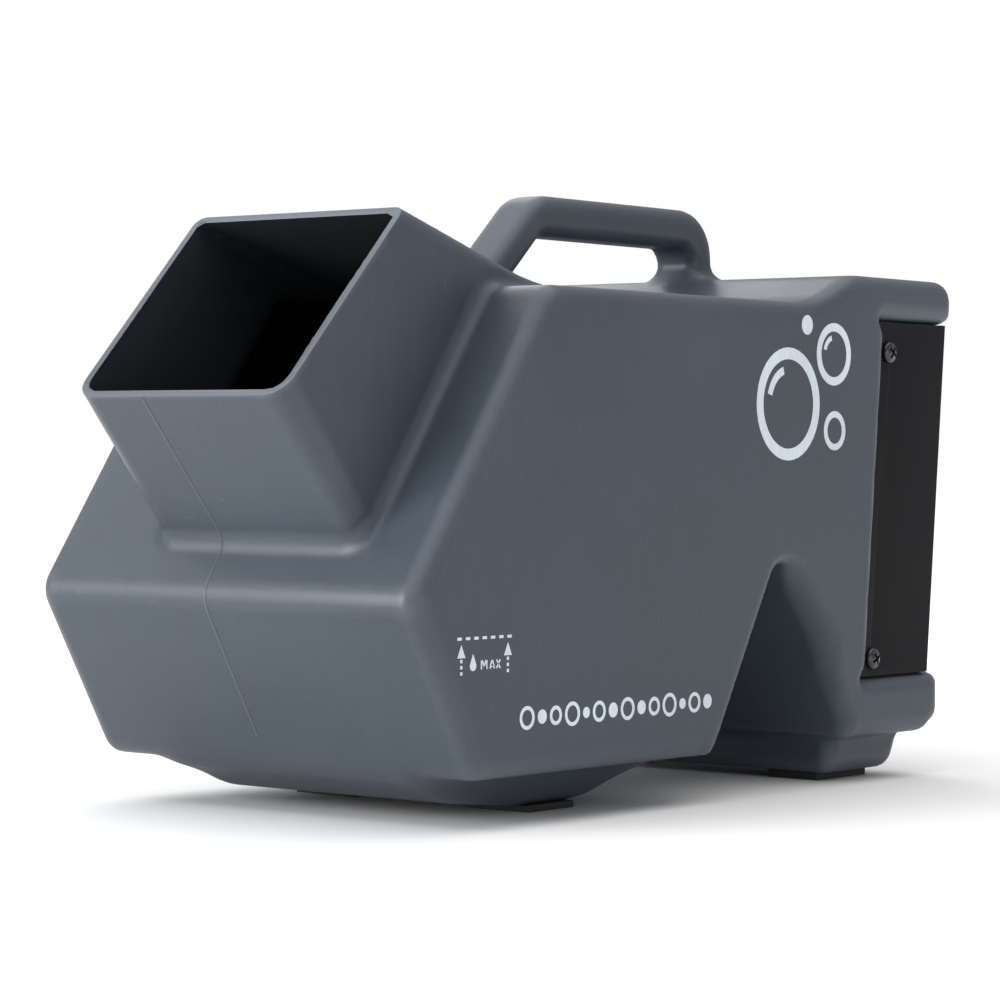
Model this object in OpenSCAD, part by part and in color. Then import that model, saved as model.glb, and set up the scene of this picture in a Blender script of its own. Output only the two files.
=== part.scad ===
// Portable bubble machine in a one-piece moulded housing.
// One hollow shell is the fluid tank, the nozzle, the carry handle and the rear leg. A folded steel
// cover closes the electronics bay behind it. Two ringed wheels turn through the tank and a fan blows
// through them towards the nozzle. Millimetres. +Z is up and the nozzle points to -Y.
// The origin is on the floor, below the middle of the whole machine.

/* [Housing] */
// Width over the two side faces
body_w = 200; // [190:1:250]
// Length from the front ridge to the rear edge of the roof
body_l = 384; // [360:1:470]
// Height of the flat top deck above the floor
deck_z = 210; // [200:1:255]
// Wall of the moulding
wall = 3; // [2.4:0.1:4]
// Height of the tank's flat underside above the floor
belly_z = 20; // [18:0.5:24]
// Height of the front ridge above the flat underside
ridge_rise = 69; // [60:1:85]
// Slope of the face below the ridge, in degrees
front_angle = 60; // [55:1:70]
// Slope of the shelf above the ridge, in degrees
shelf_angle = 55; // [50:1:60]
// Height of the roof above the deck
roof_rise = 13.5; // [8:0.5:20]
// Length of the roof behind its ramp
roof_l = 81.5; // [76:0.5:95]
// Length of the ramp between the deck and the roof
ramp_l = 33; // [20:1:45]

/* [Nozzle] */
// Width of the nozzle over its walls
nozzle_w = 108.6; // [96:0.1:120]
// Distance of the nozzle's centre from the middle of the housing
nozzle_x = 11.1; // [0:0.1:14]
// Length of the mouth from its front lip to its back lip
mouth_l = 100.4; // [90:0.1:115]
// Slope of the mouth's plane, in degrees
mouth_angle = 46.6; // [40:0.1:50]
// Height of the mouth's back lip above the deck
mouth_rise = 28; // [22:1:36]
// Distance of the mouth's back lip ahead of the deck's front edge
mouth_ahead = 48.7; // [40:0.1:56]
// Slope of the nozzle's front wall, in degrees
throat_angle = 50.2; // [46:0.1:56]
// Slope of the nozzle's top wall, in degrees
top_wall_angle = 17; // [14:1:22]

/* [Sump, notch and leg] */
// Width of the sump under the tank
sump_w = 140; // [128:1:160]
// Gap between the sump and the floor, filled by the front feet
sump_gap = 3; // [2:0.5:5]
// Width of the notch at the underside
notch_w = 104; // [90:1:110]
// Slope of the notch's front face, in degrees
notch_angle = 60; // [56:1:66]
// Distance from the rear edge of the roof to the front of the leg
leg_back = 84.5; // [80:0.5:90]
// Width of the foot block below the leg
foot_block_w = 172; // [150:1:180]
// Length of the foot block
foot_block_l = 60; // [50:1:64]
// Gap between the foot block and the floor, filled by the rear feet
foot_block_gap = 6; // [4:0.5:8]

/* [Handle] */
// Width of the handle across the hand
handle_w = 23; // [20:1:28]
// Thickness of the grip
grip_t = 17.5; // [15:0.5:22]
// Height of the finger gap above the deck
finger_gap = 27.5; // [26:0.5:36]
// Length of the finger gap
finger_l = 110; // [95:1:120]
// Slope of the handle's front leg, in degrees
handle_angle = 43; // [40:1:50]
// Distance from the rear edge of the roof to the back of the handle
handle_back = 65.5; // [62:0.5:72]

/* [Electronics bay] */
// Height of the bay's floor above the underside
bay_floor_rise = 26.5; // [22:0.5:30]
// Thickness of the roof over the bay
roof_t = 19.5; // [16:0.5:24]
// Depth from the rear edge of the roof to the foot of the bay's wall
bay_depth = 74; // [72:0.5:78]
// Lean of the bay's wall, in degrees
lean = 5; // [3:0.5:6]
// Depth of the cover, measured square to the bay's wall
cover_depth = 56.5; // [54:0.5:58]
// Sheet of the cover
cover_t = 1.2; // [1:0.1:1.6]
// Inset of the cover behind the side faces
cover_inset = 3.5; // [3.2:0.1:5]

/* [Wheels and drive] */
// Distance from the front ridge to the axle
axle_back = 125.5; // [118:0.5:135]
// Gap between the rings and the sump's floor
ring_gap = 10; // [6:1:14]
// Outer radius of a bubble ring
ring_r = 19; // [16:0.5:20]
// Distance from the axle to a ring's centre
ring_reach = 51; // [47:1:54]
// Number of rings on a wheel
ring_count = 8; // [6:1:9]
// Distance between the two wheels
wheel_pitch = 50; // [44:1:54]
// Radius of the axle
axle_r = 3; // [2.5:0.5:4]
// Teeth of the driven gear
driven_teeth = 48; // [40:2:52]
// Teeth of the motor pinion
pinion_teeth = 16; // [14:2:20]
// Module of the gears
gear_module = 1; // [0.8:0.1:1.1]
// Radius of the gearbox
gearbox_r = 12.5; // [10:0.5:13]
// Length of the gearbox and motor together
motor_l = 38; // [34:1:44]

/* [Fan] */
// Side of the fan's square frame
fan_w = 92; // [80:1:94]
// Depth of the fan's frame
fan_t = 25; // [20:1:28]
// Height of the fan's centre above the bay's floor
fan_z = 99; // [97:1:106]
// Number of blades
blade_count = 7; // [5:1:9]

/* [Controls and battery] */
// Distance of the column of controls from the middle
control_x = 66; // [62:1:70]
// Travel of a menu button
button_travel = 1; // [0.6:0.1:1.2]
// Tilt of the rocker switch either side of level, in degrees
rocker_tilt = 8; // [5:1:10]
// Radius of the charging socket's bore
socket_r = 2.8; // [2.5:0.1:3.2]
// Length of the battery pack
battery_l = 150; // [120:1:170]
// Height of the battery pack
battery_h = 42; // [36:1:44]

/* [Hidden] */
$fn = 48;
corner_steps = 6;

// Clearances
run_clear = 0.05;
loose_clear = 0.3;
face_clear = 0.1;
seat_gap = 0.02;
cut_over = 1;

// Fasteners
screw_r = 1.6;
screw_hole_r = 2.1;
screw_head_r = 3.2;
screw_head_h = 2;
cover_screw_r = 2;
cover_screw_head_r = 4.8;
cover_screw_head_h = 3;

// Side outline of the housing, as [y, z] corners
ridge_z = belly_z + ridge_rise;
shelf_run = (deck_z - ridge_z) / tan(shelf_angle);
nozzle_reach = mouth_ahead + mouth_l * cos(mouth_angle) - shelf_run;
rear_y = (body_l + nozzle_reach) / 2;
ridge_y = rear_y - body_l;
front_foot_y = ridge_y + ridge_rise / tan(front_angle);
deck_front_y = ridge_y + shelf_run;
roof_z = deck_z + roof_rise;
roof_under_z = roof_z - roof_t;
ramp_end_y = rear_y - roof_l;
bay_floor_z = belly_z + bay_floor_rise;
bay_y = rear_y - bay_depth;
sill_y = rear_y - 9.5;
sill_chamfer = [11, 6];
leg_y = rear_y - leg_back;
notch_y = leg_y - notch_w;
knee = [leg_y - 20, belly_z + 44.6];
knee_angle = 48;
apex = crossing([notch_y, belly_z], notch_angle, knee, 180 - knee_angle);
bay_h = roof_under_z - bay_floor_z;
bay_wall_h = bay_h / cos(lean);

outline = [
    [ridge_y, ridge_z, 12],
    [front_foot_y, belly_z, 10],
    [notch_y, belly_z, 4],
    [apex[0], apex[1], 9],
    [knee[0], knee[1], 60],
    [leg_y, belly_z, 6],
    [sill_y - sill_chamfer[0], belly_z, 6],
    [sill_y, belly_z + sill_chamfer[1], 6],
    [sill_y, bay_floor_z, 4],
    [bay_y, bay_floor_z, 1],
    [bay_y + bay_h * tan(lean), roof_under_z, 1],
    [rear_y, roof_under_z, 5],
    [rear_y, roof_z, 9],
    [ramp_end_y, roof_z, 40],
    [ramp_end_y - ramp_l, deck_z, 60],
    [deck_front_y, deck_z, 12]
];

// Sump outline
sump_steps = [6, 30, 72, 114];
sump_front_rise = 4;
sump_rear_rise = 12;
sump_outline = [
    [front_foot_y + sump_steps[0], belly_z + wall + 4, 1],
    [front_foot_y + sump_steps[0], belly_z, 6],
    [front_foot_y + sump_steps[1], sump_gap + sump_front_rise, 40],
    [front_foot_y + sump_steps[2], sump_gap, 60],
    [front_foot_y + sump_steps[3], sump_gap, 60],
    [notch_y + 1, sump_gap + sump_rear_rise, 8],
    [notch_y + 1, belly_z + wall + 4, 1]
];

// Foot block outline
foot_block_y = leg_y + 4;
foot_block_outline = [
    [foot_block_y, belly_z + wall + 4, 1],
    [foot_block_y, foot_block_gap, 5],
    [foot_block_y + foot_block_l - 8, foot_block_gap, 10],
    [foot_block_y + foot_block_l, belly_z, 4],
    [foot_block_y + foot_block_l, belly_z + wall + 4, 1]
];

// Nozzle outline: the mouth's two lips and the two walls that run back from them
mouth_back = [deck_front_y - mouth_ahead, deck_z + mouth_rise];
mouth_front = mouth_back - mouth_l * [cos(mouth_angle), sin(mouth_angle)];
throat_dir = [cos(throat_angle), -sin(throat_angle)];
top_dir = [cos(top_wall_angle), -sin(top_wall_angle)];
throat_end = crossing(mouth_front, -throat_angle, [ridge_y, ridge_z], shelf_angle) + 20 * throat_dir;
top_end = crossing(mouth_back, -top_wall_angle, [0, deck_z], 0) + 20 * top_dir;

// Handle outline
grip_bottom_z = deck_z + finger_gap;
grip_top_z = grip_bottom_z + grip_t;
handle_rear_y = rear_y - handle_back;
finger_rear_y = handle_rear_y - 16;
finger_front_y = finger_rear_y - finger_l;
handle_leg_t = 14.3;

// Bay frame: everything on the bay's wall is placed in it, with y square to the wall
rear_plate_t = 1.5;
cover_half = body_w / 2 - cover_inset;
plate_half = cover_half - cover_t - face_clear;
opening_half = plate_half - 11.2;
opening_z = [8, bay_wall_h - 10];
plate_z = [2, bay_wall_h - 4];
plate_flange_l = 22;
plate_screw_x = plate_half - 5.7;
plate_screw_z = [8, bay_wall_h / 2, bay_wall_h - 10];
cover_inner_y = cover_depth - cover_t;
cover_screw_y = 10;
cover_screw_z = [9, bay_wall_h - 13];

// Fan
fan_hole_r = fan_w / 2 - 4;
fan_screw_pitch = fan_w - 9.5;
fan_hub_r = 17;
fan_pin_r = 1.5;
fan_y = rear_plate_t;
guard_y = fan_y + fan_t;
guard_wire_r = 0.9;

// Wheels and drive, across the machine
axle_y = ridge_y + axle_back;
axle_z = sump_gap + wall + ring_gap + ring_reach + ring_r;
wheel_x = [nozzle_x - wheel_pitch / 2, nozzle_x + wheel_pitch / 2];
sheet_t = 1.5;
arm_left_x = wheel_x[0] - ring_r - 5 - motor_l - 4;
arm_right_x = wheel_x[1] + ring_r + 13;
arm_end_r = 13;
cradle_z = apex[1] + 1.5;
cradle_front_y = apex[0] - 25;
hub_r = 9;
hub_l = 16;
ring_t = 6;
gear_t = 5;
gear_x = arm_left_x - sheet_t - 3.5 - gear_t;
gear_distance = gear_module * (driven_teeth + pinion_teeth) / 2;
mesh_angle = 25;
motor_y = axle_y + gear_distance * cos(mesh_angle);
motor_z = axle_z + gear_distance * sin(mesh_angle);
motor_shaft_r = 2;
gearbox_l = 16;
bush_r = 5;
bush_flange_r = 7;
bush_flange_t = 1.5;
axle_x = [gear_x - 2, arm_right_x + sheet_t + 6];

// Controls
display_size = [34, 14];
display_z = 132;
button_r = 3;
button_z = 110;
button_pitch = 12;
button_proud = 1.2;
rocker_z = 78;
rocker_size = [19, 13];
bezel_size = [23, 17];
socket_z = 52;
board_gap = 9;
board_t = 1.6;
board_size = [48, 58];
board_z = 92;
board_y = cover_inner_y - board_gap - board_t;
battery_t = 38;
battery_z = 5;
battery_y = rear_plate_t + 0.5;
clamp_t = 1.2;
clamp_w = 16;
clamp_x = [
    nozzle_x - fan_w / 2 - clamp_w / 2 - 4,
    nozzle_x + fan_w / 2 + clamp_w / 2 + 1.5
];

// Colours
grey_plastic = [0.33, 0.36, 0.39];
satin_black = [0.10, 0.10, 0.11];
steel = [0.72, 0.73, 0.75];
dark_plastic = [0.16, 0.16, 0.17];
white_plastic = [0.90, 0.90, 0.88];
rubber_black = [0.06, 0.06, 0.06];

// Corner where the line through p at angle a meets the line through q at angle b
function crossing(p, a, q, b) =
    let (s = ((q[0] - p[0]) * sin(b) - (q[1] - p[1]) * cos(b)) / sin(b - a))
    p + s * [cos(a), sin(a)];

function unit(v) = v / norm(v);
function flat(p) = [p[0], p[1]];
function before(list, i) = list[(i + len(list) - 1) % len(list)];
function after(list, i) = list[(i + 1) % len(list)];
function turn(u, v) = u[0] * v[1] - u[1] * v[0];

// Outline of [y, z, radius] corners moved inwards by t, with its corner radii changed to match
function inset(list, t) = [
    for (i = [0 : len(list) - 1])
        let (
            u = unit(flat(list[i]) - flat(before(list, i))),
            v = unit(flat(after(list, i)) - flat(list[i])),
            nu = [-u[1], u[0]],
            nv = [-v[1], v[0]],
            p = flat(list[i]) + t * (nu + nv) / (1 + nu * nv),
            r = turn(u, v) > 0 ? max(list[i][2] - t, 0.5) : list[i][2] + t
        )
        [p[0], p[1], r]
];

// Points of an outline whose corners are rounded to their own radii
function rounded(list) = [
    for (i = [0 : len(list) - 1])
        let (
            p = flat(list[i]),
            u = unit(p - flat(before(list, i))),
            v = unit(flat(after(list, i)) - p),
            side = turn(u, v) > 0 ? 1 : -1,
            bend = acos(max(-1, min(1, u * v))),
            r = list[i][2],
            start = p - u * r * tan(bend / 2),
            centre = start + side * r * [-u[1], u[0]]
        )
        for (k = [0 : corner_steps])
            let (
                a = side * bend * k / corner_steps,
                d = start - centre
            )
            centre + [d[0] * cos(a) - d[1] * sin(a), d[0] * sin(a) + d[1] * cos(a)]
];

// Flank angle of an involute tooth at radius r, for a base circle of radius b
function involute(r, b) = r <= b ? 0 : tan(acos(b / r)) * 180 / PI - acos(b / r);

// One gear's outline, with its first tooth on the +x axis
function gear_outline(teeth) =
    let (
        pitch_r = gear_module * teeth / 2,
        base_r = pitch_r * cos(20),
        tip_r = pitch_r + 0.9 * gear_module,
        root_r = pitch_r - 1.25 * gear_module,
        half_tooth = 90 / teeth - 1.2 * gear_module / pitch_r * 3,
        flank = [for (k = [0 : 4]) max(base_r, root_r) + (tip_r - max(base_r, root_r)) * k / 4]
    )
    [
        for (n = [0 : teeth - 1], side = [-1, 1])
            let (order = side < 0 ? [-1, 0, 1, 2, 3, 4] : [4, 3, 2, 1, 0, -1])
            for (k = order)
                let (
                    r = k < 0 ? root_r : flank[k],
                    half = half_tooth + involute(pitch_r, base_r) - involute(k < 0 ? flank[0] : flank[k], base_r),
                    a = n * 360 / teeth + side * half
                )
                r * [cos(a), sin(a)]
    ];

// Prism along X with a side outline of [y, z] points
module prism(points, x0, x1) {
    translate([x0, 0, 0])
        rotate([90, 0, 90])
            linear_extrude(x1 - x0)
                polygon(points);
}

// Round bar along X
module x_rod(r, x0, x1, y = 0, z = 0) {
    translate([x0, y, z])
        rotate([0, 90, 0])
            cylinder(h = x1 - x0, r = r);
}

// Round bar along Y
module y_rod(r, y0, y1, x = 0, z = 0) {
    translate([x, y0, z])
        rotate([-90, 0, 0])
            cylinder(h = y1 - y0, r = r);
}

// Box from its two opposite corners
module block(low, high) {
    translate(low)
        cube(high - low);
}

// Places its children in the bay's leaning frame
module in_bay() {
    translate([0, bay_y + seat_gap, bay_floor_z])
        rotate([-lean, 0, 0])
            children();
}

module at_both_sides() {
    children();
    mirror([1, 0, 0])
        children();
}

// Pan-head screw that points to -Y, with its head's seat at y = 0
module bay_screw(length, r = screw_r, head_r = screw_head_r, head_h = screw_head_h) {
    difference() {
        union() {
            y_rod(r, -length, 0.5);
            y_rod(head_r, 0, head_h);
        }
        cross_recess(head_r, head_h);
    }
}

// Cross recess in a head that faces +Y
module cross_recess(head_r, head_h) {
    arm = head_r * 1.1;
    slot = head_r * 0.26;
    depth = head_h * 0.55;
    block([-arm / 2, head_h - depth, -slot / 2], [arm / 2, head_h + cut_over, slot / 2]);
    block([-slot / 2, head_h - depth, -arm / 2], [slot / 2, head_h + cut_over, arm / 2]);
}

// ---- Housing ----

module handle_blank() {
    outer = [
        [handle_front(grip_top_z), grip_top_z, 20],
        [handle_front(deck_z - wall + face_clear), deck_z - wall + face_clear, 0.5],
        [handle_rear_y, deck_z - wall + face_clear, 0.5],
        [handle_rear_y, grip_top_z, 22]
    ];
    gap = [
        [finger_front_y - (finger_gap + 2 * wall) / tan(handle_angle), deck_z - 2 * wall, 0.5],
        [finger_rear_y, deck_z - 2 * wall, 0.5],
        [finger_rear_y, grip_bottom_z, 9],
        [finger_front_y, grip_bottom_z, 9]
    ];
    difference() {
        prism(rounded(outer), -handle_w / 2, handle_w / 2);
        prism(rounded(gap), -handle_w, handle_w);
    }
}

// Place of the handle's front face at height z
function handle_front(z) =
    finger_front_y - handle_leg_t / sin(handle_angle) + (z - grip_bottom_z) / tan(handle_angle);

module nozzle_prism(t, past) {
    lip_front = mouth_front - past * throat_dir;
    lip_back = mouth_back - past * top_dir;
    corners = [
        [lip_front[0], lip_front[1], 0.01],
        [throat_end[0], throat_end[1], 0.01],
        [top_end[0], top_end[1], 0.01],
        [lip_back[0], lip_back[1], 0.01]
    ];
    moved = t == 0 ? corners : inset(corners, t);
    half = nozzle_w / 2 - t;
    prism([for (p = moved) flat(p)], nozzle_x - half, nozzle_x + half);
}

module housing() {
    half = body_w / 2;
    color(grey_plastic)
        difference() {
            union() {
                prism(rounded(outline), -half, half);
                nozzle_prism(0, 0);
                prism(rounded(sump_outline), -sump_w / 2, sump_w / 2);
                prism(rounded(foot_block_outline), -foot_block_w / 2, foot_block_w / 2);
                handle_blank();
            }
            prism(rounded(inset(outline, wall)), wall - half, half - wall);
            nozzle_prism(wall, 20);
            prism(rounded(inset(sump_outline, wall)), wall - sump_w / 2, sump_w / 2 - wall);
            prism(rounded(inset(foot_block_outline, wall)), wall - foot_block_w / 2, foot_block_w / 2 - wall);
            in_bay() {
                block([-opening_half, -2 * wall, opening_z[0]], [opening_half, cut_over, opening_z[1]]);
                for (x = [-plate_screw_x, plate_screw_x], z = plate_screw_z)
                    translate([x, 0, z])
                        y_rod(screw_r + run_clear, -2 * wall, cut_over);
            }
            at_both_sides()
                for (y = rear_foot_y)
                    translate([rear_foot_x, y, 0])
                        cylinder(h = foot_block_gap + 2 * wall, r = screw_r + run_clear);
        }
}

// ---- Cover and rear plate ----

module rear_cover() {
    color(satin_black)
        intersection() {
            in_bay()
                difference() {
                    block([-cover_half, 1, -20], [cover_half, cover_depth, bay_wall_h + 20]);
                    block([cover_t - cover_half, -cut_over, -30], [cover_half - cover_t, cover_inner_y, bay_wall_h + 30]);
                    for (z = cover_screw_z)
                        x_rod(cover_screw_r + 0.2, -body_w, body_w, cover_screw_y, z);
                    cover_vents();
                    cover_cutouts();
                }
            block([-body_w, 0, bay_floor_z + loose_clear], [body_w, rear_y * 2, roof_under_z - loose_clear]);
        }
}

vent_count = 9;
vent_w = 70;
vent_h = 4;
vent_pitch = 8.6;

// Rows of air slots behind the fan
module cover_vents() {
    for (n = [0 : vent_count - 1]) {
        z = fan_z + (n - (vent_count - 1) / 2) * vent_pitch;
        block([nozzle_x - vent_w / 2, cover_inner_y - cut_over, z - vent_h / 2],
              [nozzle_x + vent_w / 2, cover_depth + cut_over, z + vent_h / 2]);
    }
}

// Openings for the display, the buttons, the rocker switch and the charging socket
module cover_cutouts() {
    translate([-control_x, 0, 0]) {
        block([-display_size[0] / 2, cover_inner_y - cut_over, display_z - display_size[1] / 2],
              [display_size[0] / 2, cover_depth + cut_over, display_z + display_size[1] / 2]);
        block([-rocker_size[0] / 2, cover_inner_y - cut_over, rocker_z - rocker_size[1] / 2],
              [rocker_size[0] / 2, cover_depth + cut_over, rocker_z + rocker_size[1] / 2]);
        for (n = [0 : 3])
            y_rod(button_r + loose_clear, cover_inner_y - cut_over, cover_depth + cut_over, button_x(n), button_z);
        y_rod(socket_body_r + face_clear, cover_inner_y - cut_over, cover_depth + cut_over, 0, socket_z);
        for (x = spacer_x, z = spacer_z)
            y_rod(screw_r + run_clear, cover_inner_y - cut_over, cover_depth + cut_over, x, z);
    }
}

function button_x(n) = (n - 1.5) * button_pitch;

module cover_screws() {
    color(satin_black)
        in_bay()
            for (side = [-1, 1], z = cover_screw_z)
                translate([side * cover_half, cover_screw_y, z])
                    rotate([0, 0, -90 * side])
                        bay_screw(8, cover_screw_r, cover_screw_head_r, cover_screw_head_h);
}

module rear_plate() {
    color(steel)
        in_bay()
            difference() {
                union() {
                    block([-plate_half, 0, plate_z[0]], [plate_half, rear_plate_t, plate_z[1]]);
                    at_both_sides()
                        block([plate_half - rear_plate_t, 0, plate_z[0]], [plate_half, plate_flange_l, plate_z[1] - 4]);
                }
                y_rod(fan_hole_r, -cut_over, rear_plate_t + cut_over, nozzle_x, fan_z);
                for (x = [-1, 1], z = [-1, 1])
                    y_rod(screw_hole_r, -cut_over, rear_plate_t + cut_over,
                          nozzle_x + x * fan_screw_pitch / 2, fan_z + z * fan_screw_pitch / 2);
                for (x = [-plate_screw_x, plate_screw_x], z = plate_screw_z)
                    y_rod(screw_hole_r, -cut_over, rear_plate_t + cut_over, x, z);
                for (x = cradle_screw_x, z = cradle_screw_z)
                    y_rod(screw_hole_r, -cut_over, rear_plate_t + cut_over, x, z);
                for (x = clamp_x, z = clamp_screw_z)
                    y_rod(screw_r + run_clear, -cut_over, rear_plate_t + cut_over, x, z);
                for (z = cover_screw_z)
                    x_rod(cover_screw_r + run_clear, -body_w, body_w, cover_screw_y, z);
            }
}

module rear_plate_screws() {
    color(steel)
        in_bay()
            for (x = [-plate_screw_x, plate_screw_x], z = plate_screw_z)
                translate([x, rear_plate_t, z])
                    bay_screw(8);
}

// ---- Wheel cradle ----

cradle_flange_w = 14;
cradle_flange_z = [62, 96];
cradle_floor_gap = 6;
cradle_screw_x = [arm_left_x + cradle_flange_w / 2, arm_right_x - cradle_flange_w / 2];
cradle_screw_z = [70, 88];

// Place of the bay wall's front line at height z
function bay_line(z) = bay_y + (z - bay_floor_z) * tan(lean);

module cradle_arm(x) {
    top_z = bay_floor_z + cradle_flange_z[1];
    arm = [
        [bay_line(cradle_z), cradle_z],
        [bay_line(top_z), top_z],
        [axle_y + 40, axle_z + 36],
        [axle_y - arm_end_r * 0.4, axle_z + arm_end_r * 0.92],
        [axle_y, axle_z - arm_end_r],
        [cradle_front_y, cradle_z]
    ];
    prism(arm, x, x + sheet_t);
    x_rod(arm_end_r, x, x + sheet_t, axle_y, axle_z);
}

module wheel_cradle() {
    color(steel)
        difference() {
            union() {
                cradle_arm(arm_left_x - sheet_t);
                cradle_arm(arm_right_x);
                block([arm_left_x - sheet_t, cradle_front_y, cradle_z],
                      [arm_right_x + sheet_t, bay_line(cradle_z) - cradle_floor_gap, cradle_z + sheet_t]);
                in_bay() {
                    block([arm_left_x - sheet_t, -sheet_t, cradle_flange_z[0]],
                          [arm_left_x + cradle_flange_w, 0, cradle_flange_z[1]]);
                    block([arm_right_x - cradle_flange_w, -sheet_t, cradle_flange_z[0]],
                          [arm_right_x + sheet_t, 0, cradle_flange_z[1]]);
                }
            }
            x_rod(bush_r + face_clear, -body_w, body_w, axle_y, axle_z);
            x_rod(motor_shaft_r + 3, -body_w, 0, motor_y, motor_z);
            for (a = motor_screw_angles)
                x_rod(screw_hole_r, -body_w, 0,
                      motor_y + motor_screw_r * cos(a), motor_z + motor_screw_r * sin(a));
            in_bay()
                for (x = cradle_screw_x, z = cradle_screw_z)
                    y_rod(screw_hole_r, -5, cut_over, x, z);
        }
}

module cradle_screws() {
    color(steel)
        in_bay()
            for (x = cradle_screw_x, z = cradle_screw_z)
                translate([x, rear_plate_t, z])
                    bay_screw(8);
}

module cradle_nuts() {
    color(steel)
        in_bay()
            for (x = cradle_screw_x, z = cradle_screw_z)
                difference() {
                    translate([x, -sheet_t - 2.4, z])
                        rotate([-90, 0, 0])
                            cylinder(h = 2.4, r = 3.2, $fn = 6);
                    y_rod(screw_r + run_clear, -6, 0, x, z);
                }
}

module shaft_bushes() {
    color(white_plastic) {
        shaft_bush(arm_left_x, -1);
        shaft_bush(arm_right_x, 1);
    }
}

// Flanged bush in an arm whose inner face is at x, with the body pointing outwards
module shaft_bush(x, out) {
    translate([x, axle_y, axle_z])
        rotate([0, 90 * out, 0])
            difference() {
                union() {
                    translate([0, 0, -bush_flange_t])
                        cylinder(h = bush_flange_t, r = bush_flange_r);
                    translate([0, 0, -0.5])
                        cylinder(h = sheet_t + 1.5, r = bush_r);
                }
                translate([0, 0, -10])
                    cylinder(h = 20, r = axle_r + run_clear);
            }
}

// ---- Wheel, moving ----

module wheel_shaft() {
    color(steel)
        x_rod(axle_r, axle_x[0], axle_x[1], axle_y, axle_z);
}

module shaft_collars() {
    color(steel) {
        collar(arm_left_x + bush_flange_t + loose_clear);
        collar(arm_right_x - bush_flange_t - loose_clear - 6);
    }
}

module collar(x) {
    difference() {
        x_rod(6, x, x + 6, axle_y, axle_z);
        x_rod(axle_r + 0.02, x - cut_over, x + 7, axle_y, axle_z);
    }
}

module bubble_wheel(x) {
    inner_r = ring_r - 3;
    translate([x, axle_y, axle_z])
        difference() {
            union() {
                x_rod(hub_r, -hub_l / 2, hub_l / 2);
                for (n = [0 : ring_count - 1])
                    rotate([n * 360 / ring_count, 0, 0]) {
                        block([-2.5, -1.25, hub_r - 1], [2.5, 1.25, ring_reach - inner_r - 1]);
                        translate([0, 0, ring_reach])
                            wand_ring(inner_r);
                    }
            }
            x_rod(axle_r + 0.02, -hub_l, hub_l);
        }
}

// Ring that faces the airflow, with two grooves that hold the fluid
module wand_ring(inner_r) {
    difference() {
        y_rod(ring_r, -ring_t / 2, ring_t / 2);
        y_rod(inner_r, -ring_t, ring_t);
        for (y = [-1.7, 0.7])
            difference() {
                y_rod(ring_r + 1, y, y + 1);
                y_rod(ring_r - 1.2, y - 1, y + 2);
            }
    }
}

module bubble_wheel_left() {
    color(dark_plastic)
        bubble_wheel(wheel_x[0]);
}

module bubble_wheel_right() {
    color(dark_plastic)
        bubble_wheel(wheel_x[1]);
}

module driven_gear() {
    color(white_plastic)
        translate([0, axle_y, axle_z])
            difference() {
                union() {
                    rotate([mesh_angle, 0, 0])
                        prism(gear_outline(driven_teeth), gear_x, gear_x + gear_t);
                    x_rod(6, gear_x, gear_x + gear_t + 2);
                }
                x_rod(axle_r + 0.02, gear_x - cut_over, gear_x + gear_t + 3);
                for (n = [0 : 4])
                    rotate([n * 72, 0, 0])
                        x_rod(4, gear_x - cut_over, gear_x + gear_t + cut_over, 0, gear_module * driven_teeth / 3.4);
            }
}

// ---- Drive motor ----

motor_screw_r = 8.5;
motor_screw_angles = [mesh_angle + 90, mesh_angle - 90];

module motor_pinion() {
    color(steel)
        translate([0, motor_y, motor_z]) {
            rotate([mesh_angle + 180 + 180 / pinion_teeth, 0, 0])
                prism(gear_outline(pinion_teeth), gear_x, gear_x + gear_t);
            x_rod(motor_shaft_r, gear_x - 1, arm_left_x + gearbox_l - 2);
        }
}

module gearbox() {
    color(steel)
        translate([0, motor_y, motor_z])
            difference() {
                union() {
                    x_rod(gearbox_r, arm_left_x, arm_left_x + gearbox_l);
                    x_rod(motor_shaft_r + 2.5, arm_left_x - 1, arm_left_x + 1);
                }
                x_rod(motor_shaft_r + run_clear, arm_left_x - 2, arm_left_x + gearbox_l - 1.5);
                for (a = motor_screw_angles)
                    x_rod(screw_r - 0.1 + run_clear, arm_left_x - cut_over, arm_left_x + 7,
                          motor_screw_r * cos(a), motor_screw_r * sin(a));
            }
}

module drive_motor() {
    color(satin_black) {
        x_rod(gearbox_r - 0.5, arm_left_x + gearbox_l, arm_left_x + motor_l - 2, motor_y, motor_z);
        x_rod(4, arm_left_x + motor_l - 2, arm_left_x + motor_l, motor_y, motor_z);
    }
}

module motor_screws() {
    color(steel)
        for (a = motor_screw_angles)
            translate([arm_left_x - sheet_t, motor_y + motor_screw_r * cos(a), motor_z + motor_screw_r * sin(a)])
                rotate([0, 0, 90])
                    bay_screw(7, screw_r - 0.1, 2.9, 1.7);
}

// ---- Fan ----

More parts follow.
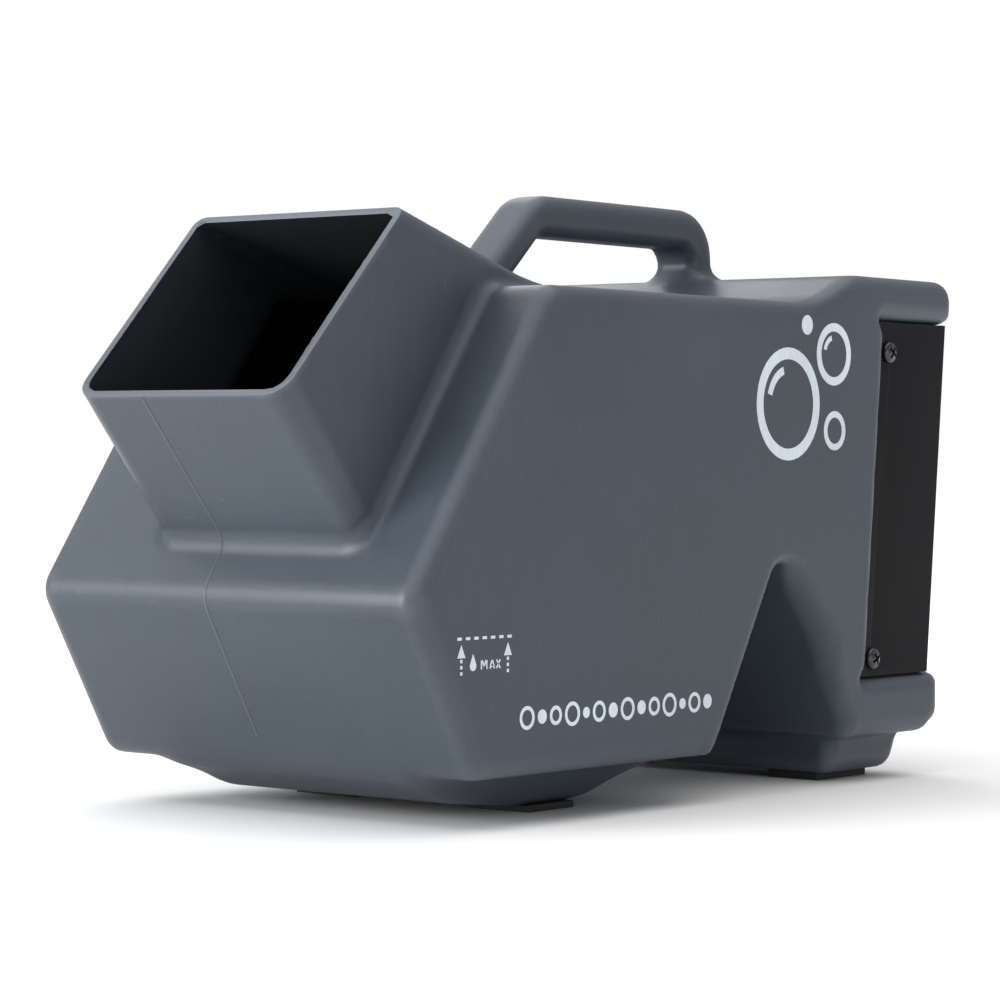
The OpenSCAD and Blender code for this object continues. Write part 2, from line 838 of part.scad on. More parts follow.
module fan_frame() {
    half = fan_w / 2;
    color(dark_plastic)
        in_bay()
            translate([nozzle_x, fan_y, fan_z])
                union() {
                    difference() {
                        block([-half, 0, -half], [half, fan_t, half]);
                        y_rod(fan_hole_r, -cut_over, fan_t + cut_over);
                        for (x = [-1, 1], z = [-1, 1])
                            y_rod(screw_hole_r, -cut_over, fan_t + cut_over, x * fan_screw_pitch / 2, z * fan_screw_pitch / 2);
                    }
                    difference() {
                        union() {
                            y_rod(fan_hub_r, fan_t - 3, fan_t);
                            for (a = [45, 135])
                                rotate([0, a, 0])
                                    block([-fan_hole_r - 1, fan_t - 3, -2], [fan_hole_r + 1, fan_t, 2]);
                            y_rod(3, 6, fan_t - 2);
                        }
                        y_rod(fan_pin_r + run_clear, 0, fan_t - 1.5);
                    }
                }
}

module fan_stator() {
    color([0.72, 0.45, 0.2])
        in_bay()
            translate([nozzle_x, fan_y, fan_z])
                difference() {
                    y_rod(fan_hub_r - 5, 7, fan_t - 3.5);
                    y_rod(3 + run_clear, 0, fan_t);
                }
}

module fan_impeller() {
    color(satin_black)
        in_bay()
            translate([nozzle_x, fan_y, fan_z]) {
                difference() {
                    y_rod(fan_hub_r, 2, fan_t - 4);
                    y_rod(fan_hub_r - 2, 4.5, fan_t);
                }
                y_rod(fan_pin_r, 4, fan_t - 4);
                difference() {
                    intersection() {
                        y_rod(fan_hole_r - 1.2, 2.5, fan_t - 4.2);
                        for (n = [0 : blade_count - 1])
                            rotate([0, n * 360 / blade_count, 0])
                                translate([0, 11.7, 0])
                                    rotate([0, 0, 38])
                                        block([-0.9, -14, fan_hub_r - 1], [0.9, 14, fan_hole_r]);
                    }
                    y_rod(fan_hub_r - 1, 0, fan_t);
                }
            }
}

guard_rings = [12, 20, 28, 36];
guard_reach = fan_screw_pitch / sqrt(2) - 4;

module fan_guard() {
    color(steel)
        in_bay()
            translate([nozzle_x, guard_y + guard_wire_r, fan_z]) {
                for (r = guard_rings)
                    rotate([90, 0, 0])
                        rotate_extrude()
                            translate([r, 0])
                                circle(guard_wire_r);
                for (a = [45, 135])
                    rotate([0, a, 0])
                        x_rod(guard_wire_r, -guard_reach, guard_reach, guard_wire_r * 0.8);
                for (x = [-1, 1], z = [-1, 1])
                    translate([x * fan_screw_pitch / 2, 0, z * fan_screw_pitch / 2])
                        difference() {
                            y_rod(4.6, -guard_wire_r, guard_wire_r * 1.2);
                            y_rod(screw_hole_r, -2, 2);
                        }
            }
}

module fan_screws() {
    color(steel)
        in_bay()
            for (x = [-1, 1], z = [-1, 1])
                translate([nozzle_x + x * fan_screw_pitch / 2, guard_y + 2.2 * guard_wire_r, fan_z + z * fan_screw_pitch / 2])
                    bay_screw(fan_t + 2.2 * guard_wire_r + rear_plate_t + 3.5);
}

module fan_nuts() {
    color(steel)
        in_bay()
            for (x = [-1, 1], z = [-1, 1])
                difference() {
                    translate([nozzle_x + x * fan_screw_pitch / 2, -2.4, fan_z + z * fan_screw_pitch / 2])
                        rotate([-90, 0, 0])
                            cylinder(h = 2.4, r = 3.2, $fn = 6);
                    y_rod(screw_r + run_clear, -6, 1, nozzle_x + x * fan_screw_pitch / 2, fan_z + z * fan_screw_pitch / 2);
                }
}

// ---- Battery ----

clamp_screw_z = [battery_z + battery_h + clamp_t + 5];

module battery_pack() {
    cell_r = battery_h / 4;
    corners = [
        [battery_y, battery_z, 4],
        [battery_y + battery_t, battery_z, 8],
        [battery_y + battery_t, battery_z + battery_h, 8],
        [battery_y, battery_z + battery_h, 4]
    ];
    color([0.12, 0.25, 0.5])
        in_bay()
            prism(rounded(corners), -battery_l / 2, battery_l / 2);
}

module battery_clamps() {
    top = battery_z + battery_h + face_clear;
    back = battery_y + battery_t + face_clear;
    color(steel)
        in_bay()
            for (x = clamp_x)
                difference() {
                    union() {
                        block([x - clamp_w / 2, rear_plate_t, top], [x + clamp_w / 2, back + clamp_t, top + clamp_t]);
                        block([x - clamp_w / 2, back, top - 22], [x + clamp_w / 2, back + clamp_t, top + clamp_t]);
                        block([x - clamp_w / 2, rear_plate_t, top], [x + clamp_w / 2, rear_plate_t + clamp_t, top + 11]);
                    }
                    for (z = clamp_screw_z)
                        y_rod(screw_hole_r, 0, 6, x, z);
                }
}

module clamp_screws() {
    color(steel)
        in_bay()
            for (x = clamp_x, z = clamp_screw_z)
                translate([x, rear_plate_t + clamp_t, z])
                    bay_screw(6, screw_r, 2.9, 1.8);
}

// ---- Controls ----

spacer_x = [-board_size[0] / 2 + 4, board_size[0] / 2 - 4];
spacer_z = [board_z + 4, board_z + board_size[1] - 4];
socket_body_r = 5.5;

module at_controls() {
    in_bay()
        translate([-control_x, 0, 0])
            children();
}

module control_board() {
    half = board_size[0] / 2;
    color([0.05, 0.35, 0.2])
        at_controls()
            union() {
                difference() {
                    block([-half, board_y, board_z], [half, board_y + board_t, board_z + board_size[1]]);
                    for (x = spacer_x, z = spacer_z)
                        y_rod(screw_r + run_clear, board_y - cut_over, board_y + board_t + cut_over, x, z);
                }
                for (n = [0 : 3])
                    block([button_x(n) - 3, board_y + board_t, button_z - 3],
                          [button_x(n) + 3, board_y + board_t + 3.5, button_z + 3]);
                block([-10, board_y - 4, board_z + 20], [10, board_y, board_z + 34]);
                block([-18, board_y - 9, board_z + 8], [-6, board_y, board_z + 16]);
                for (x = [6, 14])
                    y_rod(3.5, board_y - 11, board_y, x, board_z + 12);
            }
}

module board_spacers() {
    color(steel)
        at_controls()
            for (x = spacer_x, z = spacer_z)
                difference() {
                    y_rod(2.8, board_y + board_t, cover_inner_y, x, z);
                    y_rod(screw_r + run_clear, board_y, cover_depth, x, z);
                }
}

module board_screws() {
    color(steel)
        at_controls()
            for (x = spacer_x, z = spacer_z)
                translate([x, cover_depth, z])
                    bay_screw(cover_t + board_gap + board_t + 1, screw_r, 2.6, 1.5);
}

module display_window() {
    w = display_size[0] / 2 - face_clear;
    h = display_size[1] / 2 - face_clear;
    color([0.08, 0.05, 0.05])
        at_controls()
            union() {
                block([-w, cover_inner_y - 0.5, display_z - h], [w, cover_depth + 0.4, display_z + h]);
                block([-w - 1.5, cover_inner_y - 7, display_z - h - 1], [w + 1.5, cover_inner_y - face_clear, display_z + h + 1]);
            }
}

module push_button(n) {
    stem_back = board_y + board_t + 3.5 + button_travel + loose_clear;
    color(dark_plastic)
        at_controls()
            translate([button_x(n), 0, button_z]) {
                y_rod(button_r, stem_back, cover_depth + button_proud + button_travel);
                y_rod(button_r + 1.2, stem_back, stem_back + 1.4);
            }
}

module button_menu() {
    push_button(0);
}

module button_up() {
    push_button(1);
}

module button_down() {
    push_button(2);
}

module button_enter() {
    push_button(3);
}

rocker_pivot_y = cover_depth - 0.5;
rocker_half = 7.2;
rocker_w = 8;

module switch_body() {
    w = rocker_size[0] / 2 - face_clear;
    h = rocker_size[1] / 2 - face_clear;
    color(satin_black)
        at_controls()
            translate([0, 0, rocker_z])
                difference() {
                    union() {
                        block([-bezel_size[0] / 2, cover_depth, -bezel_size[1] / 2], [bezel_size[0] / 2, cover_depth + 1.8, bezel_size[1] / 2]);
                        block([-w, cover_inner_y - 12, -h], [w, cover_depth + 0.5, h]);
                    }
                    block([-rocker_half - loose_clear, rocker_pivot_y - 5.5, -rocker_w / 2 - loose_clear],
                          [rocker_half + loose_clear, cover_depth + 5, rocker_w / 2 + loose_clear]);
                    translate([0, rocker_pivot_y, -rocker_w / 2 - 1.6])
                        cylinder(h = rocker_w + 3.2, r = 1 + run_clear);
                }
}

module power_rocker() {
    face = [
        [-rocker_half + 0.4, 3.6],
        [0, 2.4],
        [rocker_half - 0.4, 3.6],
        [rocker_half - 1.6, -2.6],
        [1, -4],
        [-1, -4],
        [1.6 - rocker_half, -2.6]
    ];
    color([0.55, 0.05, 0.05])
        at_controls()
            translate([0, rocker_pivot_y, rocker_z])
                rotate([0, 0, rocker_tilt]) {
                    translate([0, 0, -rocker_w / 2])
                        linear_extrude(rocker_w)
                            polygon(face);
                    translate([0, 0, -rocker_w / 2 - 1.4])
                        cylinder(h = rocker_w + 2.8, r = 1);
                }
}

module charge_socket() {
    color(dark_plastic)
        at_controls()
            translate([0, 0, socket_z])
                difference() {
                    union() {
                        y_rod(socket_body_r, cover_inner_y - 9, cover_depth + 0.5);
                        y_rod(socket_body_r + 1.5, cover_depth, cover_depth + 1.6);
                    }
                    y_rod(socket_r, cover_inner_y - 8, cover_depth + 3);
                }
}

module charge_socket_nut() {
    color(steel)
        at_controls()
            translate([0, 0, socket_z])
                difference() {
                    translate([0, cover_inner_y - 2.5, 0])
                        rotate([-90, 0, 0])
                            cylinder(h = 2.5, r = socket_body_r + 2.2, $fn = 6);
                    y_rod(socket_body_r + run_clear, 0, cover_depth);
                }
}

// ---- Feet ----

front_foot_x = 46;
front_foot_l = 30;
front_foot_w = 34;
rear_foot_x = 62;
rear_foot_l = 40;
rear_foot_w = 26;
rear_foot_mid_y = foot_block_y + (foot_block_l - 8) / 2;
rear_foot_y = [rear_foot_mid_y];
foot_head_r = 3.2;

// Thin pads stuck under the flat of the sump
module front_feet() {
    mid_y = front_foot_y + (sump_steps[2] + sump_steps[3]) / 2;
    color(rubber_black)
        at_both_sides()
            block([front_foot_x - front_foot_w / 2, mid_y - front_foot_l / 2, 0],
                  [front_foot_x + front_foot_w / 2, mid_y + front_foot_l / 2, sump_gap]);
}

module rear_feet() {
    color(rubber_black)
        at_both_sides()
            difference() {
                block([rear_foot_x - rear_foot_w / 2, rear_foot_mid_y - rear_foot_l / 2, 0],
                      [rear_foot_x + rear_foot_w / 2, rear_foot_mid_y + rear_foot_l / 2, foot_block_gap]);
                for (y = rear_foot_y)
                    translate([rear_foot_x, y, 0]) {
                        translate([0, 0, -cut_over])
                            cylinder(h = foot_block_gap + 2 * cut_over, r = screw_hole_r);
                        translate([0, 0, -cut_over])
                            cylinder(h = foot_block_gap / 2 + cut_over, r = foot_head_r + loose_clear);
                    }
            }
}

module rear_foot_screws() {
    color(steel)
        at_both_sides()
            for (y = rear_foot_y)
                translate([rear_foot_x, y, foot_block_gap / 2])
                    rotate([-90, 0, 0])
                        bay_screw(foot_block_gap / 2 + wall + 2, screw_r, foot_head_r, foot_block_gap / 2 - 1);
}

housing();
rear_cover();
cover_screws();
rear_plate();
rear_plate_screws();
wheel_cradle();
cradle_screws();
cradle_nuts();
shaft_bushes();
wheel_shaft();
shaft_collars();
bubble_wheel_left();
bubble_wheel_right();
driven_gear();
motor_pinion();
gearbox();
drive_motor();
motor_screws();
fan_frame();
fan_stator();
fan_impeller();
fan_guard();
fan_screws();
fan_nuts();
battery_pack();
battery_clamps();
clamp_screws();
control_board();
board_spacers();
board_screws();
display_window();
button_menu();
button_up();
button_down();
button_enter();
switch_body();
power_rocker();
charge_socket();
charge_socket_nut();
front_feet();
rear_feet();
rear_foot_screws();
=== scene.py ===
"""Bubble machine: its visible shapes, finishes, floor, lights and camera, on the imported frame."""

import math

import bmesh
import bpy
import numpy as np
from bpy.props import FloatProperty, FloatVectorProperty, PointerProperty
from mathutils import Matrix, Vector


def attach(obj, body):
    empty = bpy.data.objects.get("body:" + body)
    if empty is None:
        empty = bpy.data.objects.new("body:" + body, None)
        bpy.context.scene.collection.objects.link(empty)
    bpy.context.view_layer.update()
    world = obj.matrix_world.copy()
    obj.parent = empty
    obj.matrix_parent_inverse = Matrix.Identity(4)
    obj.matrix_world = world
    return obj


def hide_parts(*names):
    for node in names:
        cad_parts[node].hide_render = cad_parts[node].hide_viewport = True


bl_info = {
    "name": "Bubble Machine",
    "version": (1, 0, 0),
    "blender": (4, 5, 0),
    "location": "View3D > Sidebar > Bubble Machine",
    "description": "Builds a moulded bubble machine with its wheels, fan, battery and rear cover",
    "category": "Object",
}

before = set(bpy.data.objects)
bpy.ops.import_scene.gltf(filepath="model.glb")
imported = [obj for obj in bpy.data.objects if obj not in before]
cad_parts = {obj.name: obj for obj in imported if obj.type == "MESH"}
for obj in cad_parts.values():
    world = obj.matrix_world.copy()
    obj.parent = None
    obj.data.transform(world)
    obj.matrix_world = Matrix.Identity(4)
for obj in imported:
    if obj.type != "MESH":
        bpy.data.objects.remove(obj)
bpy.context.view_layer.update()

MM = 0.001

# Main lines of the housing in millimetres, seen from the side as (y, z)
REAR_Y = 208.479
RIDGE_Y = -175.521
RIDGE_Z = 89.0
FRONT_FOOT_Y = -135.68
DECK_FRONT_Y = -90.79
DECK_Z = 210.0
BELLY_Z = 20.0
ROOF_Z = 223.5
ROOF_UNDER_Z = 204.0
RAMP_TOP_Y = 126.98
RAMP_FOOT_Y = 93.98
NOTCH_Y = 19.98
LEG_Y = 123.98
APEX = (68.5, 104.0)
KNEE = (103.98, 64.6)
SILL_Y = 198.98
SILL_CHAMFER = (11.0, 6.0)
BAY_Y = 134.479
BAY_FLOOR_Z = 46.5
BAY_LEAN = math.radians(5)
BODY_HALF = 99.85
WALL = 3.0

# Nozzle
NOZZLE_X = 11.1
NOZZLE_HALF = 54.3
MOUTH_FRONT = (-208.47, 165.05)
MOUTH_BACK = (-139.49, 238.0)
THROAT_ANGLE = math.radians(50.2)
TOP_WALL_ANGLE = math.radians(17)
LOWER_WALL = 74
TOP_WALL = 116
OUTER_PAST = 14
INNER_PAST = 9
SEAM_X = -6.5

# Handle
HANDLE_HALF = 11.5
GRIP_TOP_Z = 255.0
GRIP_UNDER_Z = 237.5
HANDLE_REAR_Y = 142.98
GAP_REAR_Y = 126.98
GAP_FRONT_Y = 16.98
HANDLE_ANGLE = math.radians(43)
HANDLE_LEG = 14.3

# Rear foot block and sump
SUMP_HALF = 70.0
SUMP_Z = 3.0
FOOT_HALF = 86.0
FOOT_Z = 3.6

# Rounding of the housing's side edges, and fillets where its parts meet
SIDE_EDGE = 8
LEG_EDGE_MORE = 4
NOTCH_EDGE_LESS = 3.5
BAY_EDGE = 2
NOZZLE_EDGE = 10
MOUTH_EDGE_LESS = 5.5
SUMP_EDGE = 13
HANDLE_EDGE = 6.0
FOOT_EDGE = 7
NOZZLE_FILLET = 6.5
SUMP_FILLET = 11
HANDLE_FILLET = 8
FOOT_FILLET = 3

# Region that the housing's mesh is made in, and the inner mesh's squares against the outer's
REGION_LOW = (-BODY_HALF - 5, -230, -2)
REGION_HIGH = (BODY_HALF + 5, REAR_Y + 6, GRIP_TOP_Z + 8)
INNER_PITCH = 1.6

# How far a face may lean from the exact surface and still be smooth, or count as inside
SMOOTH_LEAN = 0.8
INSIDE_LEAN = 0.3

# Window through the rear wall, as ranges across, out of and up that wall
WINDOW_X = (-84, 84)
WINDOW_OUT = (-9, 0.9)
WINDOW_UP = (8, 148)

# Rear cover's screws: name, height and turn of the cross in degrees
COVER_SCREWS = (("low", 9.0, 30), ("high", 145.1, 55))
COVER_HALF = 96.5
SCREW_OUT = 9.2
SCREW_HEAD_R = 4.8
SCREW_HEAD_H = 3.0

# Camera, and the lights as name, place, size and setting, in metres and degrees
CAMERA_PLACE = (0.889213, -1.113742, 0.143702)
CAMERA_TURNS = (38.569, 0.774, 0.345)
LIGHT_TARGET = (0, 0, 0.13)
SOFTBOXES = (
    ("key_light", (-1.0, -2.15, 0.6), (1.3, 1.1), "key_power"),
    ("fill_light", (2.1, -0.2, 0.35), (1.0, 0.7), "fill_power"),
    ("rim_light", (-1.3, 1.15, 1.3), (0.8, 0.8), "rim_power"),
)
SUN_SPREAD = math.radians(95)
SUN_TURN = (math.radians(8), math.radians(-6), 0)
FLOOR_REACH = 40.0


# ---- Outlines ----

def rounded(corners, steps=10):
    """Outline through (y, z, radius) corners, with each corner turned into an arc."""
    points = []
    count = len(corners)
    for i, (y, z, radius) in enumerate(corners):
        here = Vector((y, z))
        before = Vector(corners[i - 1][:2])
        after = Vector(corners[(i + 1) % count][:2])
        u = (here - before).normalized()
        v = (after - here).normalized()
        side = 1 if u.x * v.y - u.y * v.x > 0 else -1
        bend = math.acos(max(-1, min(1, u.dot(v))))
        start = here - u * radius * math.tan(bend / 2)
        centre = start + side * radius * Vector((-u.y, u.x))
        arm = start - centre
        for k in range(steps + 1):
            a = side * bend * k / steps
            points.append((centre.x + arm.x * math.cos(a) - arm.y * math.sin(a),
                           centre.y + arm.x * math.sin(a) + arm.y * math.cos(a)))
    return np.array(points)


def body_outline():
    """The body, from its ridge round the belly, the notch and the bay to the deck."""
    bay_top_y = BAY_Y + (ROOF_UNDER_Z - BAY_FLOOR_Z) * math.tan(BAY_LEAN)
    return rounded([
        (RIDGE_Y, RIDGE_Z, 12),
        (FRONT_FOOT_Y, BELLY_Z, 10),
        (NOTCH_Y, BELLY_Z, 4),
        (*APEX, 9),
        (*KNEE, 60),
        (LEG_Y, BELLY_Z, 6),
        (SILL_Y - SILL_CHAMFER[0], BELLY_Z, 6),
        (SILL_Y, BELLY_Z + SILL_CHAMFER[1], 6),
        (SILL_Y, BAY_FLOOR_Z, 4),
        (BAY_Y, BAY_FLOOR_Z, 1),
        (bay_top_y, ROOF_UNDER_Z, 1),
        (REAR_Y, ROOF_UNDER_Z, 5),
        (REAR_Y, ROOF_Z, 9),
        (RAMP_TOP_Y, ROOF_Z, 40),
        (RAMP_FOOT_Y, DECK_Z, 60),
        (DECK_FRONT_Y, DECK_Z, 12),
    ])


def sump_outline():
    """The shallow tank under the body, with its top sunk in the belly."""
    inside = BELLY_Z + 9
    return rounded([
        (FRONT_FOOT_Y + 6, inside, 1),
        (FRONT_FOOT_Y + 6, BELLY_Z, 6),
        (FRONT_FOOT_Y + 30, SUMP_Z + 4, 40),
        (FRONT_FOOT_Y + 72, SUMP_Z, 60),
        (FRONT_FOOT_Y + 114, SUMP_Z, 60),
        (NOTCH_Y + 1, SUMP_Z + 12, 8),
        (NOTCH_Y + 1, inside, 1),
    ])


def foot_outline():
    """The block under the rear leg, with its top sunk in the leg."""
    inside = BELLY_Z + 7
    return rounded([
        (LEG_Y + 4, inside, 1),
        (LEG_Y + 4, FOOT_Z, 5),
        (LEG_Y + 56, FOOT_Z, 10),
        (LEG_Y + 64, BELLY_Z, 4),
        (LEG_Y + 64, inside, 1),
    ])


def nozzle_outline(past):
    """Wedge of the nozzle, run past its mouth, with its root sunk in the body."""
    throat = Vector((math.cos(THROAT_ANGLE), -math.sin(THROAT_ANGLE)))
    top = Vector((math.cos(TOP_WALL_ANGLE), -math.sin(TOP_WALL_ANGLE)))
    front = Vector(MOUTH_FRONT)
    back = Vector(MOUTH_BACK)
    return rounded([
        (*(front - throat * past), 0.1),
        (*(front + throat * LOWER_WALL), 0.1),
        (*(back + top * TOP_WALL), 0.1),
        (*(back - top * past), 0.1),
    ], steps=1)


def handle_front(z):
    """Front of the handle's leaning leg at a height."""
    leg = HANDLE_LEG / math.sin(HANDLE_ANGLE)
    return GAP_FRONT_Y - leg + (z - GRIP_UNDER_Z) / math.tan(HANDLE_ANGLE)


def handle_outline():
    """The handle's outside, down into the deck."""
    foot_z = DECK_Z - 4
    return rounded([
        (handle_front(GRIP_TOP_Z), GRIP_TOP_Z, 20),
        (handle_front(foot_z), foot_z, 0.5),
        (HANDLE_REAR_Y + 2, foot_z, 0.5),
        (HANDLE_REAR_Y, GRIP_TOP_Z, 22),
    ])


def gap_outline():
    """The finger gap between the handle and the deck."""
    foot_z = DECK_Z - 12
    foot_y = GAP_FRONT_Y - (GRIP_UNDER_Z - foot_z) / math.tan(HANDLE_ANGLE)
    return rounded([
        (foot_y, foot_z, 0.5),
        (GAP_REAR_Y, foot_z, 0.5),
        (GAP_REAR_Y, GRIP_UNDER_Z, 9),
        (GAP_FRONT_Y, GRIP_UNDER_Z, 9),
    ])


# ---- Distance fields ----

def outline_distance(outline, y, z):
    """Distance from each point to a closed outline, negative inside it."""
    ends = np.roll(outline, -1, axis=0)
    flat_y = y.ravel()
    flat_z = z.ravel()
    near = np.full(flat_y.shape, 1e9)
    winding = np.zeros(flat_y.shape, dtype=bool)
    for (ay, az), (by, bz) in zip(outline, ends):
        dy, dz = by - ay, bz - az
        length = dy * dy + dz * dz
        if length < 1e-12:
            continue
        py, pz = flat_y - ay, flat_z - az
        t = np.clip((py * dy + pz * dz) / length, 0, 1)
        near = np.minimum(near, (py - t * dy) ** 2 + (pz - t * dz) ** 2)
        crosses = (az > flat_z) != (bz > flat_z)
        if abs(dz) > 1e-12:
            winding ^= crosses & (flat_y < dy * (flat_z - az) / dz + ay)
    distance = np.sqrt(near)
    return np.where(winding, -distance, distance).reshape(y.shape)


def meet(a, b, r):
    """Intersection of two fields with a rounded edge of radius r."""
    corner = np.hypot(np.maximum(r + a, 0), np.maximum(r + b, 0))
    return np.minimum(-r, np.maximum(a, b)) + corner


def join(a, b, r):
    """Union of two fields with a fillet of radius r between them."""
    corner = np.hypot(np.maximum(r - a, 0), np.maximum(r - b, 0))
    return np.maximum(r, np.minimum(a, b)) - corner


def ease(low, high, value):
    """Smooth step from 0 at low to 1 at high."""
    t = np.clip((value - low) / (high - low), 0, 1)
    return t * t * (3 - 2 * t)


def side_edge_radius(y, z):
    """Radius of the body's side edges: broad at the leg's front, tight round the bay."""
    bay_line = BAY_Y + (z - BAY_FLOOR_Z) * math.tan(BAY_LEAN)
    leg = ease(68, 92, y) * ease(14, 24, bay_line - y) * ease(112, 92, z)
    notch = ease(10, 25, y) * ease(88, 68, y) * ease(128, 112, z)
    bay = ease(9, 2, np.abs(y - bay_line)) * ease(44, 54, z) * ease(206, 196, z)
    open_edge = SIDE_EDGE + LEG_EDGE_MORE * leg - NOTCH_EDGE_LESS * notch
    return open_edge * (1 - bay) + BAY_EDGE * bay


class Side:
    """The housing's side outlines as distances at the given (y, z) places."""

    def __init__(self, y, z):
        self.body = outline_distance(body_outline(), y, z)
        self.edge = side_edge_radius(y, z)
        self.nozzle = outline_distance(nozzle_outline(OUTER_PAST), y, z)
        self.nozzle_inner = outline_distance(nozzle_outline(INNER_PAST), y, z)
        self.sump = outline_distance(sump_outline(), y, z)
        self.foot = outline_distance(foot_outline(), y, z)
        self.handle = outline_distance(handle_outline(), y, z)
        self.gap = outline_distance(gap_outline(), y, z)
        top = Vector((math.sin(TOP_WALL_ANGLE), math.cos(TOP_WALL_ANGLE)))
        above = (y - MOUTH_BACK[0]) * top.x + (z - MOUTH_BACK[1]) * top.y
        self.nozzle_edge = NOZZLE_EDGE - MOUTH_EDGE_LESS * ease(-45, -12, above)


def shell_field(side, nozzle, x):
    """The body, a nozzle outline and the sump, without the handle and rear foot block."""
    body = meet(side.body, np.abs(x) - BODY_HALF, side.edge)
    nozzle = meet(nozzle, np.abs(x - NOZZLE_X) - NOZZLE_HALF, side.nozzle_edge)
    sump = meet(side.sump, np.abs(x) - SUMP_HALF, SUMP_EDGE)
    return join(join(body, nozzle, NOZZLE_FILLET), sump, SUMP_FILLET)


def outer_field(side, x):
    """The housing's outside."""
    handle = np.maximum(side.handle, -side.gap)
    handle = meet(handle, np.abs(x) - HANDLE_HALF, HANDLE_EDGE)
    foot = meet(side.foot, np.abs(x) - FOOT_HALF, FOOT_EDGE)
    shell = shell_field(side, side.nozzle, x)
    return join(join(shell, handle, HANDLE_FILLET), foot, FOOT_FILLET)


def inner_field(side, x):
    """The hollow inside: the outside moved in by the wall."""
    return shell_field(side, side.nozzle_inner, x) + WALL


def slope_at(field, points, step=0.25):
    """Direction that a field grows in at each point, its value there and how fast it grows."""
    x, y, z = points.T
    slope = np.empty_like(points)
    here = Side(y, z)
    slope[:, 0] = field(here, x + step) - field(here, x - step)
    slope[:, 1] = field(Side(y + step, z), x) - field(Side(y - step, z), x)
    slope[:, 2] = field(Side(y, z + step), x) - field(Side(y, z - step), x)
    slope /= 2 * step
    length = np.linalg.norm(slope, axis=1, keepdims=True)
    return slope / np.maximum(length, 1e-6), field(here, x), np.maximum(length[:, 0], 0.3)


def settle(field, points, rounds=2):
    """Moves points onto a field's surface."""
    for _ in range(rounds):
        slope, value, size = slope_at(field, points)
        move = np.clip(value / size, -2, 2)
        points = points - slope * move[:, None]
    return points


def relax(field, points, quads, rounds):
    """Evens out the points along a surface, so its tight edges run straight."""
    pairs = np.concatenate([quads[:, [i, (i + 1) % 4]] for i in range(4)])
    here, other = np.concatenate([pairs, pairs[:, ::-1]]).T
    near = np.bincount(here, minlength=len(points))[:, None]
    for _ in range(rounds):
        total = np.stack([np.bincount(here, weights=points[other, k], minlength=len(points))
                          for k in range(3)], axis=1)
        points = settle(field, 0.4 * points + 0.6 * total / near, 1)
    return points


def cells_beside(edges, axis, du, dv):
    """Index of the cell on one side of each grid edge that runs along an axis."""
    cell = edges.copy()
    cell[:, (axis + 1) % 3] += du
    cell[:, (axis + 2) % 3] += dv
    return tuple(cell.T)


def surface_net(field, low, high, pitch):
    """Points and quads over the surface where a field crosses zero."""
    axes = [np.arange(a, b + pitch, pitch) for a, b in zip(low, high)]
    y, z = np.meshgrid(axes[1], axes[2], indexing="ij")
    side = Side(y, z)
    values = np.stack([field(side, x) for x in axes[0]])
    inside = values < 0
    cells = tuple(n - 1 for n in values.shape)
    total = np.zeros(cells + (3,))
    count = np.zeros(cells)
    quads = []
    grid = np.stack(np.meshgrid(*axes, indexing="ij"), axis=-1)
    crossings = []
    for axis in range(3):
        first = [slice(None)] * 3
        second = [slice(None)] * 3
        first[axis] = slice(0, -1)
        second[axis] = slice(1, None)
        first, second = tuple(first), tuple(second)
        change = inside[first] != inside[second]
        for other in range(3):
            if other != axis:
                edge = [slice(None)] * 3
                edge[other] = [0, -1]
                change[tuple(edge)] = False
        at = np.argwhere(change)
        a = values[first][change]
        b = values[second][change]
        t = a / (a - b)
        place = grid[first][change].copy()
        place[:, axis] += t * pitch
        crossings.append((axis, at, inside[first][change]))
        for du in (0, -1):
            for dv in (0, -1):
                key = cells_beside(at, axis, du, dv)
                np.add.at(total, key, place)
                np.add.at(count, key, 1)
    used = count > 0
    index = np.full(cells, -1)
    index[used] = np.arange(used.sum())
    points = total[used] / count[used][:, None]
    for axis, at, low_inside in crossings:
        quad = np.stack([index[cells_beside(at, axis, du, dv)]
                         for du, dv in ((-1, -1), (0, -1), (0, 0), (-1, 0))], axis=1)
        quad[~low_inside] = quad[~low_inside][:, ::-1]
        quads.append(quad)
    return points, np.concatenate(quads)


# ---- Mesh helpers ----

def new_object(name, data):
    thing = bpy.data.objects.new(name, data)
    bpy.context.scene.collection.objects.link(thing)
    return thing


def mesh_from(name, points, faces, smooth=True):
    """Object from points in millimetres."""
    mesh = bpy.data.meshes.new(name)
    metres = np.asarray(points, dtype=float) * MM
    mesh.from_pydata(metres.tolist(), [], [list(f) for f in faces])
    mesh.validate()
    mesh.polygons.foreach_set("use_smooth", [smooth] * len(mesh.polygons))
    return new_object(name, mesh)


BOX_FACES = [(0, 1, 3, 2), (4, 6, 7, 5), (0, 4, 5, 1), (2, 3, 7, 6), (0, 2, 6, 4), (1, 5, 7, 3)]


def block(name, points):
    """A closed block from eight corners (x, then y, then z), with its faces outwards."""
    piece = mesh_from(name, points, BOX_FACES, smooth=False)
    shape = bmesh.new()
    shape.from_mesh(piece.data)
    bmesh.ops.recalc_face_normals(shape, faces=shape.faces)
    shape.to_mesh(piece.data)
    shape.free()
    return piece


def bake_modifiers(piece):
    """Turns a piece's modifiers into its own mesh."""
    graph = bpy.context.evaluated_depsgraph_get()
    baked = bpy.data.meshes.new_from_object(piece.evaluated_get(graph))
    old = piece.data
    piece.modifiers.clear()
    piece.data = baked
    bpy.data.meshes.remove(old)


